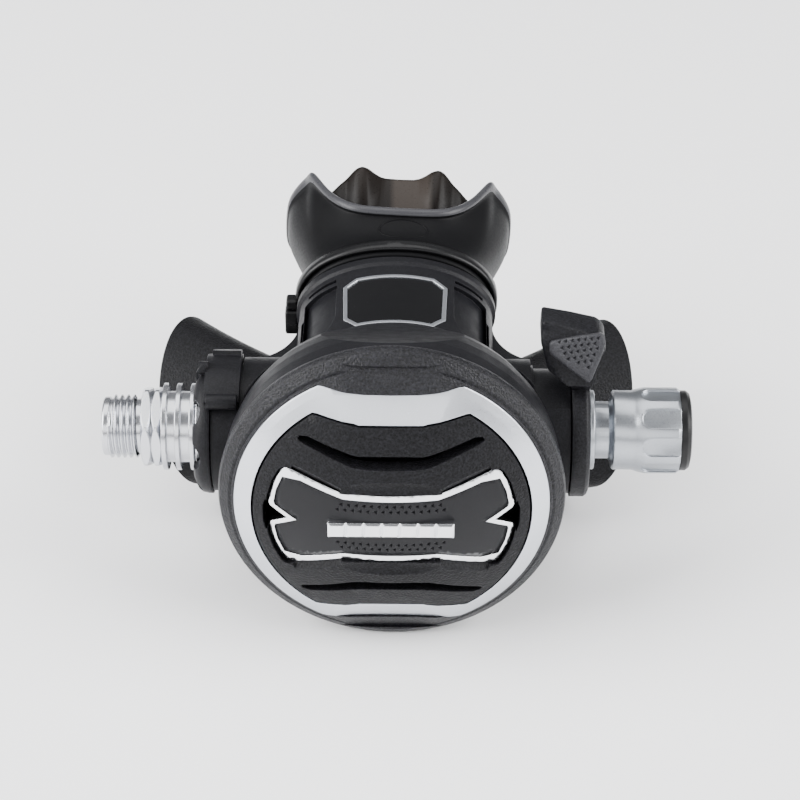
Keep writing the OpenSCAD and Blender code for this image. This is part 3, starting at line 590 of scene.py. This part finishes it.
class CutCollar(bpy.types.Operator):
    """Inlet collar with round-ended windows that show the plated sleeve"""
    bl_idname = "regulator.cut_collar"
    bl_label = "Collar windows"
    windows, first_deg = 8, 48
    rim_x, rim_radius = -44.3, 13.6
    half_x, half_round, depth = 1.9, 3.0, 6

    def execute(self, context):
        collar = piece_from(copy_of("inlet_collar"), "windowed_collar", "nylon_fine", "housing",
                            ("inlet_collar",), "lever_black")
        bm = bmesh.new()
        along = Vector((1, 0, 0))
        for k in range(self.windows):
            angle = math.radians(self.first_deg + 360 / self.windows * k)
            out = Vector((0, -math.cos(angle), math.sin(angle)))
            middle = at(self.rim_x, 0, 0) + out * self.rim_radius * MM
            turn = Matrix((along, out.cross(along), out)).transposed().to_4x4()
            oval = Matrix.Diagonal((self.half_x, self.half_round, 1, 1))
            bmesh.ops.create_cone(bm, cap_ends=True, segments=32, radius1=MM, radius2=MM,
                                  depth=self.depth * MM, matrix=Matrix.Translation(middle) @ turn @ oval)
        carve(collar, bm)
        rounded(collar, 0.25, 2, 30)
        return {"FINISHED"}


class RoundControls(bpy.types.Operator):
    """Side clip and fluted knob with softly rounded edges"""
    bl_idname = "regulator.round_controls"
    bl_label = "Clip and knob"

    def execute(self, context):
        for node, name, finish, body, slot, width in (
                ("collar_clip", "side_clip", "nylon_fine", "housing", "lever_black", 0.4),
                ("knob", "knob_grip", "knob", "knob", "knob_silver", 0.22)):
            rounded(piece_from(copy_of(node), name, finish, body, (node,), slot), width)
        return {"FINISHED"}


class BuildInlet(bpy.types.Operator):
    """Hose inlet: hexagons, cooling fins and a cut 9/16 inch thread"""
    bl_idname = "regulator.build_inlet"
    bl_label = "Threaded inlet"
    start, end = -65.1, -57.1             # the threaded stretch
    crest, lead_in = 7.144, 6.62          # radii
    bore, counterbore, mouth = 3.2, 4.6, 4.85
    barrel, fin, sleeve, tail = 8.0, 9.8, 10.4, 5.6
    fin_width, fin_places = 1.1, (-51.5, -48.5, -45.3)
    hexagon_width, hexagon_corner, hexagon_places = 2.25, 9.82, (-56.2, -53.85)
    chamfer = ((-0.1, 0), (-0.1, 8.2), (0.75, 9.6), (1.5, 9.6), (2.35, 8.2), (2.35, 0))

    def execute(self, context):
        root = sizes().thread_root / MM
        self.build_body(root)
        for k, x in enumerate(self.hexagon_places):
            self.build_hexagon(k, x)
        self.build_thread(root)
        return {"FINISHED"}

    def build_body(self, root):
        """Turned body with its fins, and the sleeve under the collar's windows."""
        start, end = self.start, self.end
        seat_x, sleeve_x, step_x, tail_x = -59.9, -43.8, -42.2, -30.1
        profile = [(seat_x, self.bore), (seat_x, self.counterbore), (start + 0.25, self.counterbore),
                   (start, self.mouth), (start, root), (start + 0.35, self.lead_in),
                   (start + 1.5, self.lead_in), (start + 1.9, root), (end + 0.2, root), (end + 0.9, root),
                   (end + 0.9, self.barrel)]
        for x in self.fin_places:
            profile += [(x, self.barrel), (x, self.fin), (x + self.fin_width, self.fin),
                        (x + self.fin_width, self.barrel)]
        profile += [(sleeve_x, self.barrel), (sleeve_x, self.sleeve), (step_x, self.sleeve),
                    (step_x, self.tail), (tail_x, self.tail), (tail_x, self.bore), (seat_x, self.bore)]
        bm = bmesh.new()
        spin_profile(bm, profile)
        body = piece_from(bm, "inlet_body", "nickel", "housing", ("inlet_connector",), "inlet_chrome")
        rounded(body, 0.2, 3, 25)

    def build_hexagon(self, k, x):
        """Hexagon whose corners are turned off on both sides."""
        bm = bmesh.new()
        swing = Matrix.Rotation(math.pi / 2, 4, "Y") @ Matrix.Rotation(math.pi / 6, 4, "Z")
        middle = at(x + self.hexagon_width / 2, 0, 0)
        bmesh.ops.create_cone(bm, cap_ends=True, segments=6, radius1=self.hexagon_corner * MM,
                              radius2=self.hexagon_corner * MM, depth=self.hexagon_width * MM,
                              matrix=Matrix.Translation(middle) @ swing)
        hexagon = piece_from(bm, f"inlet_hexagon_{k + 1}", "nickel", "housing", slot="inlet_chrome")
        bm = bmesh.new()
        spin_profile(bm, [(x + dx, radius) for dx, radius in self.chamfer])
        carve(hexagon, bm, "INTERSECT")
        rounded(hexagon, 0.12, 2, 20)

    def build_thread(self, root):
        """One tooth turned round and along, growing in and out over the first and last part of a turn."""
        per_turn, turns, first, grow_in, least = 48, 4.9, -63.75, 0.3, 0.02
        foot_half, crest_half = 0.68, 0.11
        pitch = sizes().thread_pitch / MM
        low, crest = root - 0.1, self.crest
        profile = ((-foot_half, low), (-crest_half, crest), (crest_half, crest), (foot_half, low))
        bm = bmesh.new()
        corners = [bm.verts.new(at(first + dx, 0, radius)) for dx, radius in profile]
        tooth_end = bm.faces.new(corners)
        steps = int(turns * per_turn)
        bmesh.ops.spin(bm, geom=corners + tooth_end.edges[:] + [tooth_end], cent=VALVE, axis=(1, 0, 0),
                       dvec=(pitch * MM / per_turn, 0, 0), angle=2 * math.pi * steps / per_turn,
                       steps=steps, use_merge=False, use_duplicate=False)
        bm.verts.ensure_lookup_table()
        for index, v in enumerate(bm.verts):
            turn = index // len(corners) / per_turn
            grow = max(least, min(1.0, turn / grow_in, (steps / per_turn - turn) / grow_in))
            spoke = Vector((0, v.co.y - VALVE.y, v.co.z - VALVE.z))
            height = spoke.length / MM - low
            v.co -= spoke.normalized() * height * (1 - grow) * MM
        tooth = piece_from(bm, "inlet_thread", "nickel", "housing", slot="inlet_chrome")
        tooth.data.set_sharp_from_angle(angle=math.radians(40))


class BuildLever(bpy.types.Operator):
    """Airflow lever with a softened head, and its thumb pad with rows of pits"""
    bl_idname = "regulator.build_lever"
    bl_label = "Airflow lever"
    slope = math.atan2(3.6, 10.6)         # the head's face leans back
    foot_y, foot_z = -8, 17               # where that face begins
    # the edges that are softened lie above this, are longer than this and turn by more than this
    head_z, shortest, flattest_deg = 19, 0.8, 20
    pad_lift, pad_thick, pad_edge = 0.05, 1.3, 0.65
    # across and up the face
    pad_outline = (
        (34.5, 10.3), (40.0, 11.5), (45.1, 12.2), (45.9, 11.7), (46.2, 9.9), (45.7, 7.8), (43.4, 1.7),
        (42.9, 1.1), (42.2, 1.2), (38.0, 4.3), (34.3, 7.3), (34.0, 8.0), (34.0, 9.7))
    # how many pits in a row, and its first and last place
    pit_rows = (
        (7, (36.1, 10.25), (44.5, 11.15)), (6, (36.7, 8.9), (43.8, 9.95)), (6, (37.3, 7.7), (44.4, 8.85)),
        (5, (38.1, 6.4), (43.7, 7.45)), (3, (40.3, 5.6), (43.1, 6.05)), (1, (42.5, 4.6), (42.5, 4.6)))

    def on_slope(self, u, v, out):
        """A point on the head's sloping face: across, up the slope and out of it."""
        c, s = math.cos(self.slope), math.sin(self.slope)
        return at(u, self.foot_y - out * c + v * s, self.foot_z + out * s + v * c)

    def execute(self, context):
        bm = copy_of("airflow_lever")
        above = at(0, 0, self.head_z).z
        edges = [e for e in bm.edges if min(v.co.z for v in e.verts) > above
                 and e.calc_length() > self.shortest * MM
                 and e.calc_face_angle(0) > math.radians(self.flattest_deg)]
        bmesh.ops.bevel(bm, geom=edges, offset=0.7 * MM, offset_type="OFFSET", segments=3, profile=0.5,
                        affect="EDGES", material=-1, clamp_overlap=False)
        lever = piece_from(bm, "lever_arm", "nylon", "airflow", ("airflow_lever",), "lever_black")
        rounded(lever, 0.2, 2)
        self.build_pad()
        return {"FINISHED"}

    def build_pad(self):
        """Five-sided pillow with its pits."""
        bm = bmesh.new()
        face = bm.faces.new([bm.verts.new(self.on_slope(u, v, self.pad_lift)) for u, v in self.pad_outline])
        raised = bmesh.ops.extrude_face_region(bm, geom=[face])["geom"]
        top = [v for v in raised if isinstance(v, bmesh.types.BMVert)]
        bmesh.ops.translate(bm, verts=top, vec=self.on_slope(0, 0, self.pad_thick) - self.on_slope(0, 0, 0))
        rim = [e for e in bm.edges if all(v in top for v in e.verts)]
        bmesh.ops.bevel(bm, geom=rim, offset=self.pad_edge * MM, offset_type="OFFSET", segments=4,
                        profile=0.5, affect="EDGES", material=-1, clamp_overlap=True)
        pad = piece_from(bm, "thumb_pad", "pad", "airflow", ("lever_pad",), "pad_grey")
        surface = surface_of(pad)
        inward = self.on_slope(0, 0, -1) - self.on_slope(0, 0, 0)
        bm = bmesh.new()
        for count, first, last in self.pit_rows:
            for k in range(count):
                f = k / max(1, count - 1)
                u, v = (a + (b - a) * f for a, b in zip(first, last))
                spot, normal = seat(surface, self.on_slope(u, v, 5), inward)
                pit_cutter(bm, spot, normal, sizes().pit)
        carve(pad, bm)


def tee_frame(s):
    """Middle, long and short half axes and their directions for a place along the tee, -1 to 1 from outlet
    to outlet. It leans back, turns outwards and flares towards each outlet."""
    t = abs(s)
    side = -1 if s < 0 else 1
    lean = math.radians(90 - 49 * t)
    turn = math.radians(35 * t ** 1.5)
    tall = 15.39 + 5.21 * t ** 3
    deep = 10 + 3 * t * t
    middle = Vector((48.5 * s, 21 + 14.5 * t ** 1.6, -22.3 + 5.8 * t))
    up = Vector((0, math.cos(lean), math.sin(lean)))
    out = Vector((side * math.sin(turn), -math.cos(turn) * math.sin(lean), math.cos(turn) * math.cos(lean)))
    return middle, tall, deep, up, out


class BuildTee(bpy.types.Operator):
    """Exhaust tee: one swept rubber duct that flares to an oval outlet on each side"""
    bl_idname = "regulator.build_tee"
    bl_label = "Exhaust tee"
    half_steps, round_steps = 16, 64

    def execute(self, context):
        wall = sizes().tee_wall / MM
        bm = bmesh.new()
        outward = [k / self.half_steps for k in range(-self.half_steps, self.half_steps + 1)]
        loops = []
        for shrink, places in ((0, outward), (wall, reversed(outward))):
            for s in places:
                middle, tall, deep, up, out = tee_frame(s)
                loops.append(circle_loop(bm, self.round_steps, lambda a, b: at(
                    *(middle + (tall - shrink) * b * up + (deep - shrink) * a * out))))
        bridge_all(bm, loops)
        tee = piece_from(bm, "exhaust_duct", "rubber", "housing", ("exhaust_tee",), "tee_black")
        rounded(tee, 0.55, 3, 50)
        return {"FINISHED"}


HORN_AT, HORN_WIDTH = 0.58, 0.24   # where a corner of the shield rises, as a share of its height
LOWER_HALF = 0.92                  # the shield is a little shallower below its middle


def soft_place(x, y, z):
    """A point about the neck's axis; behind the collar the soft rubber is turned a little."""
    collar_y, over, most_deg = 46, 7, 3
    turn = math.radians(most_deg) * min(1, max(0, (y - collar_y) / over))
    return at(x * math.cos(turn) + z * math.sin(turn), y, NECK_Z - x * math.sin(turn) + z * math.cos(turn))


def shield_loop(bm, y, half_w, half_h, square, sweep=0.0, rise=0.0, draw=0.0):
    """Squared oval round the neck; its sides sweep back, and its corners rise and draw in to horns."""
    def place(c, s):
        across, up = power(c, 2 / square), power(s, 2 / square)
        drop = LOWER_HALF if s < 0 and rise else 1
        horn = rise * math.exp(-((abs(s) - HORN_AT) / HORN_WIDTH) ** 2)
        pull = draw * (1 if s > 0 else 1.2) * min(1, abs(s) / 0.45) ** 1.5
        return soft_place(half_w * across * (1 - pull), y + sweep * (1 - abs(s) ** 3.6),
                          (half_h * up + math.copysign(horn, s)) * drop)
    return circle_loop(bm, 96, place)


class BuildMouthpiece(bpy.types.Operator):
    """Silicone mouthpiece: collar, swept lip shield with a bead, palate sheet and bite tabs"""
    bl_idname = "regulator.build_mouthpiece"
    bl_label = "Mouthpiece"

    def execute(self, context):
        # each loop: y, half width, half height, squareness, sweep, rise and draw of the corners
        skin = [
            (37.3, 22.4, 13.9, 2.1), (43.6, 22.7, 14.2, 2.1), (44.2, 22.5, 14.0, 2.1),
            (44.6, 21.9, 13.4, 2.1), (46.2, 21.6, 13.0, 2.15, 1.0), (48.3, 22.6, 13.0, 2.3, 5.0, 0.2, 0.01),
            (50.4, 24.6, 13.3, 2.8, 9.5, 0.8, 0.03), (52.3, 26.5, 13.9, 3.4, 13.8, 1.3, 0.09),
            (53.3, 27.0, 14.3, 3.8, 16.6, 1.8, 0.11), (53.6, 27.1, 14.4, 4.2, 17.9, 2.1, 0.12)]
        bead = [
            (53.3, 27.4, 15.0, 4.4, 18.4, 2.3, 0.12), (53.7, 27.7, 15.8, 4.4, 19.0, 2.6, 0.125),
            (54.6, 27.7, 16.2, 4.4, 19.6, 2.8, 0.125), (55.5, 27.1, 16.0, 4.4, 19.7, 2.6, 0.125),
            (56.0, 26.2, 15.2, 4.4, 19.3, 2.2, 0.12), (55.8, 25.4, 14.4, 4.3, 18.4, 2.0, 0.115)]
        inside = [
            (55.2, 24.6, 13.4, 4.0, 16.8, 1.7, 0.11), (54.4, 23.2, 12.3, 3.4, 13.2, 1.2, 0.09),
            (53.2, 20.6, 11.4, 2.8, 8.5, 0.9, 0.03), (51.8, 17.6, 10.2, 2.4, 4.0, 0.2),
            (50.0, 15.0, 9.1, 2.3, 0.5), (47.4, 14.6, 9.0, 2.2), (46.8, 15.6, 9.6, 2.1),
            (46.6, 20.4, 12.7, 2.0), (46.0, 20.4, 12.75, 2.0), (37.3, 20.4, 12.75, 2.0)]
        bm = bmesh.new()
        loops = [shield_loop(bm, *row) for row in skin + bead + inside]
        bridge_all(bm, loops, range(len(skin), len(skin) + len(bead)))
        # the bead's spans take the bead finish, whose lighter colour is painted light
        shield = piece_from(bm, "lip_shield", "lip bead", "housing", ("mouthpiece",), "mouth_grey")
        smooth_levels(shield, 1)
        self.build_oval(shield)
        self.build_sheet()
        self.build_tabs()
        return {"FINISHED"}

    def build_oval(self, shield):
        """Bare oval rim on the top of the shield."""
        middle_x, middle_y, half_x, half_y, above = 1.5, 49.9, 5.9, 3.3, 40
        surface = surface_of(shield)
        bm = bmesh.new()
        loops = []
        for grow, lift in ((1.0, -0.2), (1.0, 0.1), (0.965, 0.16), (0.93, 0.1), (0.93, -0.2)):
            def place(a, b):
                start = at(middle_x + half_x * grow * a, middle_y + half_y * grow * b, above)
                spot, normal = seat(surface, start, Vector((0, 0, -1)))
                return spot + normal * lift * MM
            loops.append(circle_loop(bm, 72, place))
        bridge_all(bm, loops)
        piece_from(bm, "shield_oval", "lip", "housing", slot="mouth_grey")

    def build_sheet(self):
        """Arched sheet above the bite tabs, high at two ears and lower between them."""
        half_width, ear_x, ear_width = 18.3, 9, 3
        shift_x, shift_z, bulge, post_back, post_up = -0.3, -0.6, 1.2, 0.5, 0.2
        # both ends of the sheet: distance from its middle, y and z
        rear = ((0, 77.3, 20.9), (3.5, 77.3, 21.0), (5, 77.3, 21.4), (6.5, 77.2, 22.4), (8, 77.1, 23.7),
                (9.3, 77, 24.3), (10.5, 76.8, 23.7), (12.5, 76, 21.4), (15, 74.5, 19.6), (17.2, 72.5, 18.4),
                (half_width, 70, 14))
        front = ((0, 63.5, 14.6), (8, 63.8, 14.8), (14, 65, 13.4), (half_width, 66.5, 10.5))
        bm = bmesh.new()
        bmesh.ops.create_grid(bm, x_segments=74, y_segments=10, size=1.0)
        for v in bm.verts:
            x, f = half_width * v.co.x, (v.co.y + 1) / 2
            (y0, z0), (y1, z1) = between(front, abs(x)), between(rear, abs(x))
            post = math.exp(-((abs(x) - ear_x) / ear_width) ** 2) * 4 * f * (1 - f)
            y = y0 + (y1 - y0) * f - post_back * post
            z = z0 + (z1 - z0) * f + bulge * f * (1 - f) + post_up * post
            v.co = soft_place(x + shift_x, y, z - NECK_Z + shift_z)
        sheet = piece_from(bm, "palate_sheet", "sheet", "housing", slot="mouth_grey")
        modifier = sheet.modifiers.new("Wall", "SOLIDIFY")
        modifier.thickness = sizes().sheet_wall
        modifier.offset = 0.0
        modifier.use_even_offset = True
        smooth_levels(sheet, 1)

    def build_tabs(self):
        """Bite tabs with a raised lip near their rear end."""
        # both ends of a tab: y, how far out, width and thickness
        front, rear = (59.5, 17.2, 9.0, 4.0), (80.6, 15.6, 8.4, 4.4)
        lip_from, lip_to, lip_height = 77, 80, 0.9
        bm = bmesh.new()
        for side in (1, -1):
            block = bmesh.ops.create_cube(bm, size=1.0)["verts"]
            for v in block:
                y, out, width, thick = rear if v.co.y > 0 else front
                v.co = soft_place(side * out + v.co.x * width, y, v.co.z * thick)
        bmesh.ops.subdivide_edges(bm, edges=bm.edges[:], cuts=3, use_grid_fill=True)
        middle = at(0, 0, NECK_Z).z
        for v in bm.verts:
            if lip_from < (v.co.y - VALVE.y) / MM < lip_to:
                v.co.z += math.copysign(lip_height * MM, v.co.z - middle)
        tabs = piece_from(bm, "bite_tabs", "sheet", "housing", slot="mouth_grey")
        smooth_levels(tabs, 2)


class BuildTie(bpy.types.Operator):
    """Clamp band round the mouthpiece's collar, with its latch"""
    bl_idname = "regulator.build_tie"
    bl_label = "Mouthpiece tie"
    latch_blocks = (((-26.2, 37.6, 0.6), (-23.0, 41.8, 6.8)), ((-25.9, 38.0, 7.1), (-23.1, 41.6, 9.6)))

    def execute(self, context):
        bm = bmesh.new()
        # each loop: y, half width, half height and squareness
        bridge_all(bm, [shield_loop(bm, *row) for row in (
            (38.7, 22.75, 14.25, 2.12), (38.7, 23.3, 14.8, 2.12), (39.1, 23.7, 15.2, 2.12),
            (41.6, 23.8, 15.25, 2.12), (42.0, 23.4, 14.85, 2.12), (42.0, 22.8, 14.3, 2.12))])
        piece_from(bm, "tie_band", "tie", "housing", ("mouthpiece_tie",), "tie_black")
        bm = bmesh.new()
        for low, high in self.latch_blocks:
            block = bmesh.ops.create_cube(bm, size=1.0)["verts"]
            a, b = at(*low), at(*high)
            bmesh.ops.scale(bm, verts=block, vec=b - a)
            bmesh.ops.translate(bm, verts=block, vec=(a + b) / 2)
        latch = piece_from(bm, "tie_latch", "tie", "housing", slot="tie_black")
        rounded(latch, 0.6)
        return {"FINISHED"}


class SoftenMovers(bpy.types.Operator):
    """Springs and diaphragm, each copied as a piece that rides on its body"""
    bl_idname = "regulator.soften_movers"
    bl_label = "Springs and diaphragm"
    x, y = 0, 1
    low, high = 0, 1
    # node, piece, finish, body, joint, axis, the end that stays, how far it gives, slot
    movers = (
        ("purge_spring", "return_coil", "steel", "purge", "purge_press", y, low, 3.0, "spring_steel"),
        ("poppet_spring", "poppet_coil", "steel", "poppet", "pad_slide", x, low, 4.2, "spring_steel"),
        ("diaphragm", "membrane_dish", "membrane", "housing", "purge_press", y, high, 3.2, "membrane"))

    def execute(self, context):
        for node, name, finish, body, joint, axis, fixed, give, slot in self.movers:
            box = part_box(node)
            anchor = [centre(node, k) for k in range(3)]
            anchor[axis] = box[fixed][axis]
            piece = piece_from(copy_of(node), name, finish, body, (node,), slot)
            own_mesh(piece)
        return {"FINISHED"}


class BuildStage(bpy.types.Operator):
    """Pale floor, soft lights and the camera"""
    bl_idname = "regulator.build_stage"
    bl_label = "Stage"
    # name, place, width and height in metres, watts
    lamps = (("top_softbox", (-0.15, 0.30, 1.30), (1.4, 1.0), 14),
             ("left_softbox", (-1.05, -0.30, 0.72), (1.1, 1.1), 46),
             ("right_softbox", (1.05, -0.30, 0.72), (1.0, 1.1), 36),
             ("front_fill", (-0.1, -1.2, 0.55), (1.4, 0.6), 7))
    azimuth_deg, elevation_deg, distance = 0.8, 34.0, 0.600
    image_px, focal_px, target_px = 800, 2670.0, (391.0, 428.0)
    sensor_mm = 36

    def execute(self, context):
        self.build_floor()
        self.build_lights(context)
        self.build_camera(context)
        return {"FINISHED"}

    def build_floor(self):
        bm = bmesh.new()
        bmesh.ops.create_grid(bm, x_segments=1, y_segments=1, size=3.0)
        mesh = bpy.data.meshes.new("floor")
        bm.to_mesh(mesh)
        bm.free()
        floor = bpy.data.objects.new("floor", mesh)
        bpy.context.collection.objects.link(floor)
        material, _, shader = new_material("pale_floor")
        shader.inputs["Base Color"].default_value = (0.93, 0.93, 0.94, 1)
        shader.inputs["Roughness"].default_value = 0.6
        floor.data.materials.append(material)
        floor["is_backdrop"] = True

    def build_lights(self, context):
        aim = at(0, 10, 5)
        for name, place, size, watts in self.lamps:
            lamp = bpy.data.lights.new(name, "AREA")
            lamp.shape = "RECTANGLE"
            lamp.size, lamp.size_y = size
            lamp.energy = watts
            obj = bpy.data.objects.new(name, lamp)
            obj.location = place
            obj.rotation_euler = (aim - Vector(place)).to_track_quat("-Z", "Y").to_euler()
            context.collection.objects.link(obj)
        world = bpy.data.worlds.new("studio")
        world.use_nodes = True
        background = world.node_tree.nodes["Background"]
        background.inputs["Color"].default_value = (0.86, 0.87, 0.89, 1)
        background.inputs["Strength"].default_value = 0.38
        context.scene.world = world

    def build_camera(self, context):
        """Looks down on the front; the target falls at target_px in the image, from its top left."""
        azimuth, elevation = math.radians(self.azimuth_deg), math.radians(self.elevation_deg)
        distance, focal = self.distance, self.focal_px
        back = Vector((math.sin(azimuth) * math.cos(elevation), -math.cos(azimuth) * math.cos(elevation),
                       math.sin(elevation)))
        right = Vector((math.cos(azimuth), math.sin(azimuth), 0))
        up = back.cross(right)
        across, down = ((px - self.image_px / 2) / focal * distance for px in self.target_px)
        target = at(-0.6, 0, 0)
        data = bpy.data.cameras.new("camera")
        data.sensor_width = self.sensor_mm
        data.lens = focal / self.image_px * self.sensor_mm
        data.clip_start = 0.01
        camera = bpy.data.objects.new("camera", data)
        turn = Matrix((right, up, back)).transposed()
        place = target - right * across + up * down + back * distance
        camera.matrix_world = Matrix.Translation(place) @ turn.to_4x4()
        context.collection.objects.link(camera)
        context.scene.camera = camera


class RegulatorPanel(bpy.types.Panel):
    """Lists the pieces and their sizes and colours"""
    bl_idname = "VIEW3D_PT_regulator"
    bl_label = "Regulator second stage"
    bl_space_type = "VIEW_3D"
    bl_region_type = "UI"
    bl_category = "Regulator"

    def draw(self, context):
        layout = self.layout
        for group in (context.scene.regulator_sizes, context.scene.regulator_colours):
            for key in group.__annotations__:
                layout.prop(group, key)
        for operator in OPERATORS:
            layout.operator(operator.bl_idname)


OPERATORS = (FinishCadNodes, BuildBadge, ShapeFront, CutCollar, RoundControls, BuildInlet, BuildLever,
             BuildTee, BuildMouthpiece, BuildTie, SoftenMovers, BuildStage)
CLASSES = (RegulatorSizes, RegulatorColours) + OPERATORS + (RegulatorPanel,)


def register():
    for cls in CLASSES:
        bpy.utils.register_class(cls)
    bpy.types.Scene.regulator_sizes = bpy.props.PointerProperty(type=RegulatorSizes)
    bpy.types.Scene.regulator_colours = bpy.props.PointerProperty(type=RegulatorColours)


def unregister():
    del bpy.types.Scene.regulator_colours
    del bpy.types.Scene.regulator_sizes
    for cls in reversed(CLASSES):
        bpy.utils.unregister_class(cls)


def main():
    register()
    bpy.ops.regulator.finish_cad_nodes()
    bpy.ops.regulator.build_badge()
    bpy.ops.regulator.shape_front()
    bpy.ops.regulator.cut_collar()
    bpy.ops.regulator.round_controls()
    bpy.ops.regulator.build_inlet()
    bpy.ops.regulator.build_lever()
    bpy.ops.regulator.build_tee()
    bpy.ops.regulator.build_mouthpiece()
    bpy.ops.regulator.build_tie()
    bpy.ops.regulator.soften_movers()
    bpy.ops.regulator.build_stage()
    boxes = {"cad": CAD_BOUNDS, "visual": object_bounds()}
    {key: [list(map(float, corner)) for corner in box] for key, box in boxes.items()}


if __name__ == "__main__":
    main()
